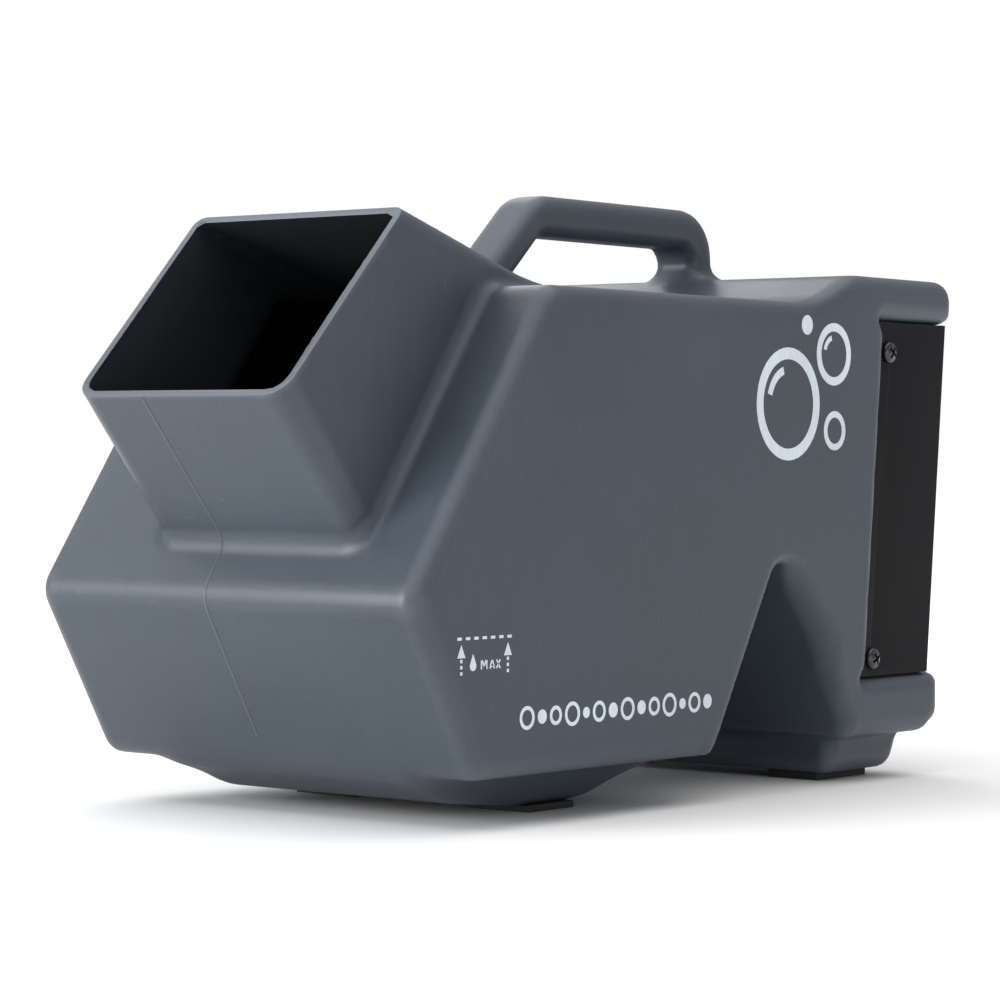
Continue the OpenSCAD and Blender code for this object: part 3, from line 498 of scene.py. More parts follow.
def cut(piece, cutters, solver="MANIFOLD"):
    """Takes the cutters away from a piece."""
    for cutter in cutters:
        step = piece.modifiers.new("cut", "BOOLEAN")
        step.operation = "DIFFERENCE"
        step.solver = solver
        step.object = cutter
    bake_modifiers(piece)
    for cutter in cutters:
        mesh = cutter.data
        bpy.data.objects.remove(cutter)
        bpy.data.meshes.remove(mesh)


def in_bay(x, y, z):
    """Place on the rear wall, whose y runs square out of it, in the machine's frame."""
    c, s = math.cos(BAY_LEAN), math.sin(BAY_LEAN)
    return (x, BAY_Y + 0.02 + y * c + z * s, BAY_FLOOR_Z - y * s + z * c)


def softened(node, width, name, body, material, segments=3, angle=35):
    """A copy of a CAD node with its hard edges rounded over."""
    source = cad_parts[node]
    mesh = source.data.copy()
    mesh.name = name
    piece = new_object(name, mesh)
    piece.matrix_world = source.matrix_world.copy()
    weld = piece.modifiers.new("weld", "WELD")
    weld.merge_threshold = 0.00001
    flatten = piece.modifiers.new("flatten", "DECIMATE")
    flatten.decimate_type = "DISSOLVE"
    flatten.angle_limit = math.radians(1.5)
    bevel = piece.modifiers.new("soften", "BEVEL")
    bevel.width = width * MM
    bevel.segments = segments
    bevel.limit_method = "ANGLE"
    bevel.angle_limit = math.radians(angle)
    bevel.harden_normals = True
    bake_modifiers(piece)
    dress(piece, material)
    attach(piece, body)
    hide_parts(node)
    return piece


def dress(piece, material):
    """Gives a piece one material all over."""
    if piece.data.materials:
        for i in range(len(piece.data.materials)):
            piece.data.materials[i] = material
    else:
        piece.data.materials.append(material)


def dress_node(node, material):
    """Gives a CAD node one material all over."""
    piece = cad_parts[node]
    for place in piece.material_slots:
        place.material = material


# ---- Shared surface effects ----

class Graph:
    """Short ways to add and link nodes in one tree."""

    def __init__(self, tree):
        self.tree = tree

    def add(self, kind, **settings):
        node = self.tree.nodes.new(kind)
        for key, value in settings.items():
            setattr(node, key, value)
        return node

    def link(self, source, target):
        self.tree.links.new(source, target)

    def feed(self, socket, value):
        """Links another node's output to a socket, or sets the socket to a value."""
        if isinstance(value, bpy.types.NodeSocket):
            self.link(value, socket)
        else:
            socket.default_value = value

    def noise(self, coords, scale, detail=3.0, rough=0.5):
        node = self.add("ShaderNodeTexNoise")
        for name, value in (("Vector", coords), ("Scale", scale), ("Detail", detail),
                            ("Roughness", rough)):
            self.feed(node.inputs[name], value)
        return node.outputs["Fac"]

    def math(self, operation, a, b):
        node = self.add("ShaderNodeMath", operation=operation)
        for socket, value in zip(node.inputs, (a, b)):
            self.feed(socket, value)
        return node.outputs[0]

    def spread(self, value, low, high, to_low, to_high):
        node = self.add("ShaderNodeMapRange", clamp=True)
        for name, item in zip(("Value", "From Min", "From Max", "To Min", "To Max"),
                              (value, low, high, to_low, to_high)):
            self.feed(node.inputs[name], item)
        return node.outputs["Result"]

    def vary(self, noise, low, high):
        """Spreads the middle range of a noise between two values."""
        return self.spread(noise, 0.3, 0.7, low, high)

    def blend(self, amount, a, b, mode="MIX"):
        node = self.add("ShaderNodeMix", data_type="RGBA", blend_type=mode)
        for place, value in ((0, amount), (6, a), (7, b)):
            self.feed(node.inputs[place], value)
        return node.outputs[2]

    def stretched(self, coords, x, y, z):
        node = self.add("ShaderNodeVectorMath", operation="MULTIPLY")
        self.link(coords, node.inputs[0])
        node.inputs[1].default_value = (x, y, z)
        return node.outputs[0]

    def toned(self, colour, tone):
        """A colour made lighter and darker by a grey tone."""
        grey = self.add("ShaderNodeCombineColor")
        for socket in grey.inputs[:3]:
            self.link(tone, socket)
        return self.blend(1.0, colour, grey.outputs[0], "MULTIPLY")

    def rubbed_and_highlit(self, low, high, amount):
        """Lighter colour on the surface's sharp outer edges: wear, and on the housing partly a
        painted highlight.
        """
        bend = self.add("ShaderNodeNewGeometry").outputs["Pointiness"]
        return self.math("MULTIPLY", self.spread(bend, low, high, 0.0, 1.0), amount)


def effect(name, inputs, build):
    """Makes a shared node group once, with colour, roughness and height as its outputs."""
    group = bpy.data.node_groups.get(name)
    if group:
        return group
    group = bpy.data.node_groups.new(name, "ShaderNodeTree")
    colour, number = "NodeSocketColor", "NodeSocketFloat"
    for label, value in inputs.items():
        kind = colour if isinstance(value, tuple) else number
        socket = group.interface.new_socket(name=label, in_out="INPUT", socket_type=kind)
        socket.default_value = value
    for label, kind in (("Colour", colour), ("Roughness", number), ("Height", number)):
        group.interface.new_socket(name=label, in_out="OUTPUT", socket_type=kind)
    graph = Graph(group)
    source = graph.add("NodeGroupInput").outputs
    result = graph.add("NodeGroupOutput").inputs
    build(graph, source, result)
    return group


def moulded_effect():
    """Moulded plastic: cloudy tone, fine grain, drawn streaks, sparse scuffs, and lighter edges
    that are wear and, on the housing, partly a painted highlight.
    """

    def build(graph, source, result):
        coords = graph.add("ShaderNodeTexCoord").outputs["Object"]
        cloud = graph.noise(coords, source["Cloud Scale"], 4)
        grain = graph.noise(coords, source["Grain Scale"], 2, 0.6)
        drawn = graph.stretched(coords, 160, 160, 14)
        streak = graph.noise(drawn, 3.0, 3)
        scuff_place = graph.noise(graph.stretched(coords, 60, 220, 60), 1.2, 5, 0.65)
        scuff = graph.spread(scuff_place, 0.66, 0.74, 0.0, 1.0)
        # Sharp edges lighten towards the edge colour: wear, and on the housing partly a painted
        # highlight.
        edge = graph.rubbed_and_highlit(0.505, 0.56, source["Edge Wear"])
        scuff = graph.math("MULTIPLY", scuff, source["Scuffs"])
        tone = graph.vary(cloud, 0.9, 1.08)
        fine = graph.vary(grain, 0.94, 1.06)
        line = graph.spread(streak, 0.35, 0.65, 0.965, 1.035)
        shade = graph.math("MULTIPLY", graph.math("MULTIPLY", tone, fine), line)
        base = graph.toned(source["Colour"], shade)
        worn_and_highlight = graph.blend(edge, base, source["Worn Colour"])
        graph.link(graph.blend(scuff, worn_and_highlight, source["Worn Colour"]), result["Colour"])
        rough = graph.vary(cloud, source["Roughness Low"], source["Roughness High"])
        graph.link(graph.math("ADD", rough, graph.math("MULTIPLY", scuff, 0.12)),
                   result["Roughness"])
        height = graph.math("ADD", grain, graph.math("MULTIPLY", streak, 0.4))
        graph.link(graph.math("SUBTRACT", height, graph.math("MULTIPLY", scuff, 0.5)),
                   result["Height"])

    return effect("Moulded plastic", {
        "Colour": (0.1, 0.1, 0.1, 1),
        "Worn Colour": (0.3, 0.3, 0.3, 1),
        "Cloud Scale": 14.0,
        "Grain Scale": 1400.0,
        "Edge Wear": 0.3,
        "Scuffs": 0.15,
        "Roughness Low": 0.4,
        "Roughness High": 0.55,
    }, build)


def painted_effect():
    """Painted sheet: orange peel, dust in the paint and bright edges from wear."""

    def build(graph, source, result):
        coords = graph.add("ShaderNodeTexCoord").outputs["Object"]
        peel = graph.noise(coords, source["Peel Scale"], 2)
        cloud = graph.noise(coords, 12.0, 4)
        specks = graph.spread(graph.noise(coords, 2600.0, 1), 0.62, 0.72, 0.0, 1.0)
        edge = graph.rubbed_and_highlit(0.54, 0.62, source["Edge Wear"])
        tone = graph.vary(cloud, 0.85, 1.12)
        base = graph.toned(source["Colour"], tone)
        dusty = graph.blend(graph.math("MULTIPLY", specks, 0.2), base, source["Worn Colour"])
        graph.link(graph.blend(edge, dusty, source["Worn Colour"]), result["Colour"])
        graph.link(graph.vary(cloud, source["Roughness Low"], source["Roughness High"]),
                   result["Roughness"])
        graph.link(peel, result["Height"])

    return effect("Painted sheet", {
        "Colour": (0.02, 0.02, 0.02, 1),
        "Worn Colour": (0.2, 0.2, 0.2, 1),
        "Peel Scale": 700.0,
        "Edge Wear": 0.3,
        "Roughness Low": 0.35,
        "Roughness High": 0.5,
    }, build)


def metal_effect():
    """Bare metal: drawn lines, tarnish and small stains."""

    def build(graph, source, result):
        coords = graph.add("ShaderNodeTexCoord").outputs["Object"]
        lines = graph.noise(graph.stretched(coords, 40, 900, 900), 1.0, 3)
        cloud = graph.noise(coords, source["Cloud Scale"], 5, 0.6)
        stain = graph.spread(cloud, 0.58, 0.72, 0.0, 1.0)
        tone = graph.vary(lines, 0.88, 1.1)
        base = graph.toned(source["Colour"], tone)
        stain_amount = graph.math("MULTIPLY", stain, source["Tarnish"])
        graph.link(graph.blend(stain_amount, base, source["Worn Colour"]), result["Colour"])
        rough = graph.vary(lines, source["Roughness Low"], source["Roughness High"])
        graph.link(graph.math("ADD", rough, graph.math("MULTIPLY", stain_amount, 0.2)),
                   result["Roughness"])
        graph.link(lines, result["Height"])

    return effect("Bare metal", {
        "Colour": (0.5, 0.5, 0.5, 1),
        "Worn Colour": (0.25, 0.22, 0.2, 1),
        "Cloud Scale": 60.0,
        "Tarnish": 0.25,
        "Roughness Low": 0.22,
        "Roughness High": 0.38,
    }, build)


def finish(name, group, colour, worn_and_highlight, rough, metallic=0.0, bump=0.15, depth=0.0002, coat=0.0,
           specular=0.5, **values):
    """A material whose colour, roughness and bump come from a shared effect."""
    material = bpy.data.materials.get(name)
    if material:
        return material
    material = bpy.data.materials.new(name)
    material.use_nodes = True
    graph = Graph(material.node_tree)
    shader = material.node_tree.nodes["Principled BSDF"]
    node = graph.add("ShaderNodeGroup", node_tree=group)
    node.inputs["Colour"].default_value = (*colour[:3], 1)
    node.inputs["Worn Colour"].default_value = (*worn_and_highlight[:3], 1)
    node.inputs["Roughness Low"].default_value, node.inputs["Roughness High"].default_value = rough
    for label, value in values.items():
        node.inputs[label.replace("_", " ").title()].default_value = value
    relief = graph.add("ShaderNodeBump")
    relief.inputs["Strength"].default_value = bump
    relief.inputs["Distance"].default_value = depth
    graph.link(node.outputs["Height"], relief.inputs["Height"])
    graph.link(relief.outputs["Normal"], shader.inputs["Normal"])
    graph.link(node.outputs["Colour"], shader.inputs["Base Color"])
    graph.link(node.outputs["Roughness"], shader.inputs["Roughness"])
    shader.inputs["Metallic"].default_value = metallic
    shader.inputs["Coat Weight"].default_value = coat
    shader.inputs["Coat Roughness"].default_value = 0.12
    shader.inputs["Specular IOR Level"].default_value = specular
    return material


# ---- Settings ----

def colour_setting(name, description, default):
    return FloatVectorProperty(name=name, description=description, subtype="COLOR", size=3,
                               min=0, max=1, default=default)


def length_setting(name, description, default, low, high):
    return FloatProperty(name=name, description=description, subtype="DISTANCE", unit="LENGTH",
                         default=default, min=low, max=high)


def power_setting(name, description, default):
    return FloatProperty(name=name, description=description, subtype="POWER", unit="POWER",
                         default=default, min=0)


class HousingSettings(bpy.types.PropertyGroup):
    colour: colour_setting("Plastic Colour", "Colour of the moulded housing",
                           (0.045, 0.0585, 0.077))
    # Used for scuffs and for the lighter sharp edges, where it is partly wear and partly a painted
    # highlight.
    edge_wear_and_highlight_colour: colour_setting("Edge Colour", "Colour of the housing's rubbed edges",
                                (0.2, 0.215, 0.26))
    print_colour: colour_setting("Print Colour", "Colour of the printed graphics",
                                 (0.66, 0.73, 0.79))
    mesh_pitch: length_setting("Mesh Pitch", "Size of the housing's mesh squares",
                               0.0024, 0.0015, 0.006)
    seam_width: length_setting("Seam Width", "Width of the mould seam's bead",
                               0.0016, 0.0005, 0.003)


class CoverSettings(bpy.types.PropertyGroup):
    colour: colour_setting("Paint Colour", "Colour of the painted rear cover",
                           (0.005, 0.005, 0.0068))
    edge_radius: length_setting("Edge Radius", "Rounding of the sheet's edges",
                                0.0005, 0.0001, 0.001)


class InsideSettings(bpy.types.PropertyGroup):
    wheel_colour: colour_setting("Wheel Colour", "Colour of the bubble wheels",
                                 (0.02, 0.021, 0.023))
    battery_colour: colour_setting("Battery Colour", "Colour of the battery's wrap",
                                   (0.02, 0.06, 0.18))


class StageSettings(bpy.types.PropertyGroup):
    floor_colour: colour_setting("Floor Colour", "Colour of the studio floor", (0.9, 0.9, 0.9))
    key_power: power_setting("Key Light", "Power of the front light", 50.0)
    fill_power: power_setting("Fill Light", "Power of the side light", 3.5)
    rim_power: power_setting("Rim Light", "Power of the light behind, for the upper edges", 5.0)
    top_strength: FloatProperty(name="Top Light", description="Strength of the overhead light",
                                default=2.5, min=0)
    daylight: FloatProperty(name="Daylight", description="Strength of the light from all round",
                            default=0.45, min=0)
    focal_length: FloatProperty(name="Focal Length", description="Camera lens on a 36 mm sensor",
                                subtype="DISTANCE_CAMERA", unit="CAMERA", default=120.42, min=20)


# ---- Housing ----

def housing_plastic():
    look = bpy.context.scene.bubble_housing
    # The lighter edges from edge_wear are partly wear and partly a painted highlight on the
    # fillets.
    return finish("Housing plastic", moulded_effect(), look.colour, look.edge_wear_and_highlight_colour, bump=0.22,
                  depth=0.00025, edge_wear=0.35, scuffs=0.12, rough=(0.36, 0.46), specular=0.4)


# The housing's own plastic at about half its colour, for the faces inside: painted shade for the
# dark hollow.
def inner_painted_shade_plastic():
    return finish("Housing inside", moulded_effect(), (0.022, 0.026, 0.032), (0.05, 0.055, 0.06),
                  bump=0.25, depth=0.0004, edge_wear=0.0, scuffs=0.1, rough=(0.5, 0.65),
                  specular=0.25)


def print_ink():
    look = bpy.context.scene.bubble_housing
    ink = look.print_colour
    return finish("Print ink", moulded_effect(), ink, tuple(0.8 * c for c in ink), bump=0.08,
                  edge_wear=0.0, scuffs=0.25, rough=(0.5, 0.62), specular=0.3)


def mouth_plane():
    """Front edge of the nozzle's mouth, and directions along the mouth and out of it."""
    front = Vector(MOUTH_FRONT)
    along = (Vector(MOUTH_BACK) - front).normalized()
    return front, along, Vector((-along.y, along.x))


def mouth_cutter():
    """A block over everything past the plane of the nozzle's mouth."""
    front, along, out = mouth_plane()
    points = []
    for x in (-150, 150):
        for run in (-80, 220):
            for height in (0, 60):
                place = front + along * run + out * height
                points.append((x, place.x, place.y))
    return block("mouth_cutter", points)


def window_cutter():
    """A block through the rear wall where the fan and the wiring pass."""
    return block("window_cutter", [in_bay(x, y, z) for x in WINDOW_X for y in WINDOW_OUT
                                   for z in WINDOW_UP])


def smooth_normals(piece):
    """Sets normals from the exact surfaces, and tells which faces line the inside.

    Faces that the cutters left stay flat.
    """
    mesh = piece.data
    points = np.empty(len(mesh.vertices) * 3)
    mesh.vertices.foreach_get("co", points)
    points = points.reshape(-1, 3) / MM
    outer, outer_value, _ = slope_at(outer_field, points)
    inner, inner_value, _ = slope_at(inner_field, points)
    use_inner = np.abs(inner_value) < np.abs(outer_value)
    exact = np.where(use_inner[:, None], -inner, outer)
    corner = np.empty(len(mesh.loops), dtype=np.int32)
    mesh.loops.foreach_get("vertex_index", corner)
    counts = np.empty(len(mesh.polygons), dtype=np.int32)
    mesh.polygons.foreach_get("loop_total", counts)
    flat = np.empty(len(mesh.polygons) * 3)
    mesh.polygons.foreach_get("normal", flat)
    face = np.repeat(flat.reshape(-1, 3), counts, axis=0)
    chosen = exact[corner]
    facing = (chosen * face).sum(axis=1)
    agrees = facing > SMOOTH_LEAN
    first = np.cumsum(counts) - counts
    inside = use_inner[corner][first] & (facing[first] > INSIDE_LEAN)
    normals = np.where(agrees[:, None], chosen, face)
    mesh.polygons.foreach_set("use_smooth", [True] * len(mesh.polygons))
    mesh.normals_split_custom_set(normals.tolist())
    return inside


def field_mesh(field, pitch, rounds):
    """Points and quads on a field's surface."""
    points, quads = surface_net(field, REGION_LOW, REGION_HIGH, pitch)
    return relax(field, settle(field, points), quads, rounds), quads


def build_housing(pitch):
    """The hollow moulding, cut open at the mouth and at the rear wall's window."""
    outer, outer_faces = field_mesh(outer_field, pitch, 3)
    inner, inner_faces = field_mesh(inner_field, pitch * INNER_PITCH, 2)
    points = np.concatenate([outer, inner])
    faces = np.concatenate([outer_faces, inner_faces[:, ::-1] + len(outer)])
    housing = mesh_from("moulded_housing", points, faces)
    cut(housing, [mouth_cutter(), window_cutter()])
    inside = smooth_normals(housing)
    dress(housing, housing_plastic())
    # Faces that line the inside take the darker copy, which paints the shade inside the hollow.
    housing.data.materials.append(inner_painted_shade_plastic())
    housing.data.polygons.foreach_set("material_index", inside.astype(np.int32))
    return housing


def seam_path(step=1.6):
    """Walks up the front of the housing from its foot to the mouth, in the seam's plane."""
    out = np.array([0, *mouth_plane()[2]])
    mouth = np.array([SEAM_X, *MOUTH_FRONT])
    most_steps, rim_gap = 400, 0.8
    here = settle(outer_field, np.array([[SEAM_X, FRONT_FOOT_Y - 4, BELLY_Z + 14.0]]), 4)
    path, normals = [], []
    for _ in range(most_steps):
        slope, _, _ = slope_at(outer_field, here)
        path.append(here[0])
        normals.append(slope[0])
        heading = np.array([[0, slope[0, 2], -slope[0, 1]]])
        if heading[0, 2] < 0 and abs(slope[0, 2]) < 0.999:
            heading = -heading
        here = settle(outer_field, here + heading * step, 2)
        here[0, 0] = SEAM_X
        if (here[0] - mouth) @ out > -rim_gap:
            break
    return np.array(path), np.array(normals)


def build_seam(width):
    """A low bead along the mould seam, five points wide."""
    path, normals = seam_path()
    half = width / MM / 2
    profile = ((-1, -0.1), (-0.5, 0.26), (0, 0.34), (0.5, 0.26), (1, -0.1))
    rows = [path + np.array([across * half, 0, 0]) + normals * rise for across, rise in profile]
    points = np.stack(rows, axis=1).reshape(-1, 3)
    faces = []
    for i in range(len(path) - 1):
        for j in range(4):
            a = i * 5 + j
            faces.append((a, a + 1, a + 6, a + 5))
    return mesh_from("mould_seam", points, faces)


class OBJECT_OT_bubble_housing(bpy.types.Operator):
    """Builds the moulded housing with its nozzle, handle, notch and feet blocks"""

    bl_idname = "object.bubble_housing"
    bl_label = "Housing"

    def execute(self, context):
        look = context.scene.bubble_housing
        pitch = look.mesh_pitch / MM
        housing = build_housing(pitch)
        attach(housing, "machine")
        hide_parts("housing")
        seam = build_seam(look.seam_width)
        dress(seam, housing_plastic())
        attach(seam, "machine")
        return {"FINISHED"}


# ---- Printed graphics on the near side ----

def disc(y, z, radius, count=40):
    return [(y + radius * math.cos(2 * math.pi * i / count),
             z + radius * math.sin(2 * math.pi * i / count)) for i in range(count)]


def slab(y, z, width, height, turn=0.0):
    """A rectangle about its centre, turned by an angle in radians."""
    c, s = math.cos(turn), math.sin(turn)
    corners = ((-1, -1), (1, -1), (1, 1), (-1, 1))
    return [(y + a * width / 2 * c - b * height / 2 * s,
             z + a * width / 2 * s + b * height / 2 * c) for a, b in corners]


def arc_band(y, z, radius, width, start, end, count=24):
    """A band along part of a circle, with its ends in degrees."""
    angles = [math.radians(start + (end - start) * i / count) for i in range(count + 1)]
    outer = [(y + (radius + width / 2) * math.cos(a), z + (radius + width / 2) * math.sin(a))
             for a in angles]
    inner = [(y + (radius - width / 2) * math.cos(a), z + (radius - width / 2) * math.sin(a))
             for a in reversed(angles)]
    return outer + inner


def ring(y, z, radius, width):
    return [disc(y, z, radius), disc(y, z, radius - width)]


def emblem_shapes():
    """A cluster of bubbles, the two biggest with a shine."""
    big, middle, shine = (72, 166), (107, 188), (105, 165)
    shapes = ring(*big, 24, 5)
    shapes += [arc_band(*big, 14.5, 3.4, *shine)]
    shapes += ring(*middle, 13.5, 3.6)
    shapes += [arc_band(*middle, 7.2, 2.2, *shine)]
    shapes += ring(108, 155, 8.5, 2.8)
    shapes += [disc(86, 200, 4.2)]
    return shapes


def level_shapes():
    """The fill mark: a broken line, two arrows, a drop and the word for full."""
    shapes = [slab(-147.6 + i * 5.0, 74.8, 2.6, 1.1) for i in range(7)]
    for y in (-146.5, -118.5):
        shapes.append([(y - 2.4, 67.6), (y + 2.4, 67.6), (y, 72.6)])
        shapes += [slab(y, 66.4 - i * 2.3, 1.3, 1.3) for i in range(3)]
    drop_y, drop_z, drop_r = -139.5, 64.4, 1.9
    drop = [(drop_y + drop_r * math.cos(a), drop_z + drop_r * math.sin(a))
            for a in [math.radians(150 + 240 * i / 16) for i in range(17)]]
    shapes.append(drop + [(drop_y, drop_z + 4.6)])
    return shapes + full_word(-134.5, 64.6)


def full_word(y, z):
    """Three upright letters, from straight bars."""
    tall, bar = 3.4, 0.75
    shapes = [slab(y, z, bar, tall), slab(y + 3.2, z, bar, tall)]
    shapes += [slab(y + 1.0, z + 0.45, bar, 2.8, 0.42), slab(y + 2.2, z + 0.45, bar, 2.8, -0.42)]
    shapes += [slab(y + 5.7, z, bar, tall, -0.36), slab(y + 7.2, z, bar, tall, 0.36),
               slab(y + 6.45, z - 0.7, 1.5, bar)]
    shapes += [slab(y + 10.2, z, bar, 3.9, 0.6), slab(y + 10.2, z, bar, 3.9, -0.6)]
    return shapes


def bubble_row_shapes():
    """A row of bubbles of changing size."""
    sizes = (4.6, 2.8, 3.8, 4.8, 2.2, 4.2, 3.0)
    y, row_end, row_z, gap = -111.0, 18, 43.0, 2.0
    smallest_ring, ring_width = 3.4, 1.5
    shapes = []
    i = 0
    while y < row_end:
        radius = sizes[i % len(sizes)]
        y += radius
        if radius > smallest_ring:
            shapes += ring(y, row_z, radius, ring_width)
        else:
            shapes.append(disc(y, row_z, radius, 24))
        y += radius + gap
        i += 1
    return shapes


def print_piece(name, shapes):
    """Printed shapes as one very thin piece on the near side."""
    drawing = bpy.data.curves.new(name + "_drawing", "CURVE")
    drawing.dimensions = "2D"
    drawing.fill_mode = "BOTH"
    drawing.extrude = 0.05 * MM
    for shape in shapes:
        line = drawing.splines.new("POLY")
        line.points.add(len(shape) - 1)
        for point, (y, z) in zip(line.points, shape):
            point.co = (y * MM, z * MM, 0, 1)
        line.use_cyclic_u = True
    source = new_object(name + "_drawing", drawing)
    graph = bpy.context.evaluated_depsgraph_get()
    mesh = bpy.data.meshes.new_from_object(source.evaluated_get(graph))
    bpy.data.objects.remove(source)
    bpy.data.curves.remove(drawing)
    out = (BODY_HALF + 0.06) * MM
    mesh.transform(Matrix(((0, 0, 1, out), (1, 0, 0, 0), (0, 1, 0, 0), (0, 0, 0, 1))))
    piece = new_object(name, mesh)
    dress(piece, print_ink())
    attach(piece, "machine")
    return piece


class OBJECT_OT_bubble_graphics(bpy.types.Operator):
    """Prints the emblem, the fill mark and the row of bubbles on the housing's side"""

    bl_idname = "object.bubble_graphics"
    bl_label = "Printed Graphics"

    def execute(self, context):
        print_piece("print_emblem", emblem_shapes())
        print_piece("print_fill_mark", level_shapes())
        print_piece("print_bubble_row", bubble_row_shapes())
        return {"FINISHED"}


# ---- Rear cover and what is fixed to it ----

def cover_paint():
    look = bpy.context.scene.bubble_cover
    return finish("Cover paint", painted_effect(), look.colour, (0.035, 0.035, 0.04), bump=0.12,
                  edge_wear=0.3, rough=(0.36, 0.5), specular=0.07)


def blackened_steel():
    return finish("Blackened steel", painted_effect(), (0.012, 0.012, 0.014), (0.1, 0.1, 0.11),
                  bump=0.05, edge_wear=0.2, rough=(0.16, 0.26), coat=0.3)


def dome_screw(name, head_r, head_h, side):
    """A domed screw head with a cross recess, lying on its side against the cover."""
    shape = bmesh.new()
    profile = [(head_r, 0.0), (head_r, head_h * 0.3)]
    for i in range(1, 9):
        a = math.radians(90 * i / 8)
        profile.append((head_r * math.cos(a), head_h * (0.3 + 0.7 * math.sin(a))))
    rings = []
    count = 40
    for radius, height in profile[:-1]:
        rings.append([shape.verts.new((height * MM, radius * math.cos(2 * math.pi * k / count) * MM,
                                       radius * math.sin(2 * math.pi * k / count) * MM))
                      for k in range(count)])
    for a, b in zip(rings, rings[1:]):
        for k in range(count):
            shape.faces.new((a[k], a[(k + 1) % count], b[(k + 1) % count], b[k]))
    shape.faces.new(list(reversed(rings[0])))
    tip = shape.verts.new((head_h * MM, 0, 0))
    for k in range(count):
        shape.faces.new((rings[-1][k], rings[-1][(k + 1) % count], tip))
    bmesh.ops.recalc_face_normals(shape, faces=shape.faces)
    mesh = bpy.data.meshes.new(name)
    shape.to_mesh(mesh)
    shape.free()
    mesh.polygons.foreach_set("use_smooth", [True] * len(mesh.polygons))
    piece = new_object(name, mesh)
    arm, slot_half, deep = head_r * 0.6, head_r * 0.13, head_h * 0.45
    blades = []
    for width, height in ((arm, slot_half), (slot_half, arm)):
        blades.append(block("blade", [(x, y, z) for x in (deep, head_h + 1)
                                      for y in (-width, width) for z in (-height, height)]))
    cut(piece, blades, "EXACT")
    if side < 0:
        piece.data.transform(Matrix.Rotation(math.pi, 4, "Z"))
    return piece


class OBJECT_OT_bubble_cover(bpy.types.Operator):
    """Builds the rear cover with softened sheet edges, and its four domed screws"""

    bl_idname = "object.bubble_cover"
    bl_label = "Rear Cover"

    def execute(self, context):
        look = context.scene.bubble_cover
        softened("rear_cover", look.edge_radius / MM, "painted_rear_cover", "machine",
                 cover_paint(), segments=2, angle=50)
        for side, hand in ((-1, "left"), (1, "right")):
            for level, z, turn in COVER_SCREWS:
                name = f"domed_cover_screw_{hand}_{level}"
                screw = dome_screw(name, SCREW_HEAD_R, SCREW_HEAD_H, side)
                place = in_bay(side * COVER_HALF, SCREW_OUT, z)
                spin = Matrix.Rotation(math.radians(turn), 4, "X")
                screw.data.transform(Matrix.Translation(Vector(place) * MM) @ spin)
                dress(screw, blackened_steel())
                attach(screw, "machine")
                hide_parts("cover_screws")
        return {"FINISHED"}


# ---- Controls ----

def key_plastic():
    return finish("Key plastic", moulded_effect(), (0.03, 0.03, 0.033), (0.14, 0.14, 0.15),
                  edge_wear=0.4, scuffs=0.1, rough=(0.42, 0.55))


def rocker_plastic():
    return finish("Rocker plastic", moulded_effect(), (0.25, 0.012, 0.01), (0.5, 0.1, 0.08),
                  edge_wear=0.25, scuffs=0.1, rough=(0.25, 0.35), coat=0.3)


def lens_plastic():
    return finish("Display lens", moulded_effect(), (0.012, 0.004, 0.004), (0.06, 0.03, 0.03),
                  bump=0.03, edge_wear=0.1, scuffs=0.05, rough=(0.06, 0.12),
                  coat=0.6)


class OBJECT_OT_bubble_controls(bpy.types.Operator):
    """Builds the display, the four keys, the power rocker and the charging socket"""

    bl_idname = "object.bubble_controls"
    bl_label = "Controls"

    def execute(self, context):
        key = key_plastic()
        softened("display_window", 0.5, "soft_display_window", "machine", lens_plastic())
        for node in ("button_menu", "button_up", "button_down", "button_enter"):
            body = node.replace("button_", "") + "_key"
            softened(node, 0.4, "soft_" + node, body, key)
        softened("power_rocker", 0.6, "soft_power_rocker", "rocker", rocker_plastic())
        dress_node("switch_body", key)
        dress_node("charge_socket", key)
        dress_node("charge_socket_nut", blackened_steel())
        board = finish("Circuit board", painted_effect(), (0.01, 0.09, 0.035), (0.05, 0.16, 0.08),
                       edge_wear=0.1, rough=(0.3, 0.42), coat=0.3)
        dress_node("control_board", board)
        dress_node("board_spacers", bright_steel())
        dress_node("board_screws", bright_steel())
        return {"FINISHED"}


# ---- Wheels, drive, fan and battery ----

def bright_steel():
    return finish("Bright steel", metal_effect(), (0.56, 0.57, 0.58), (0.3, 0.28, 0.26),
                  metallic=1.0, tarnish=0.25, rough=(0.2, 0.34))


def sheet_steel():
    return finish("Plated sheet", metal_effect(), (0.5, 0.51, 0.5), (0.32, 0.31, 0.27),
                  metallic=1.0, tarnish=0.45, cloud_scale=30.0, rough=(0.32, 0.5))


def motor_steel():
    return finish("Motor can", metal_effect(), (0.42, 0.42, 0.41), (0.2, 0.19, 0.17), metallic=1.0,
                  tarnish=0.3, rough=(0.3, 0.42))


def black_plastic():
    return finish("Black plastic", moulded_effect(), (0.016, 0.016, 0.018), (0.1, 0.1, 0.1),
                  edge_wear=0.3, scuffs=0.1, rough=(0.4, 0.52))


def wheel_plastic():
    look = bpy.context.scene.bubble_inside
    return finish("Wheel plastic", moulded_effect(), look.wheel_colour, (0.12, 0.12, 0.13),
                  edge_wear=0.25, scuffs=0.1, rough=(0.26, 0.4), coat=0.15)


def gear_plastic():
    return finish("Gear plastic", moulded_effect(), (0.62, 0.6, 0.54), (0.45, 0.42, 0.36),
                  edge_wear=0.2, scuffs=0.2, rough=(0.35, 0.5))


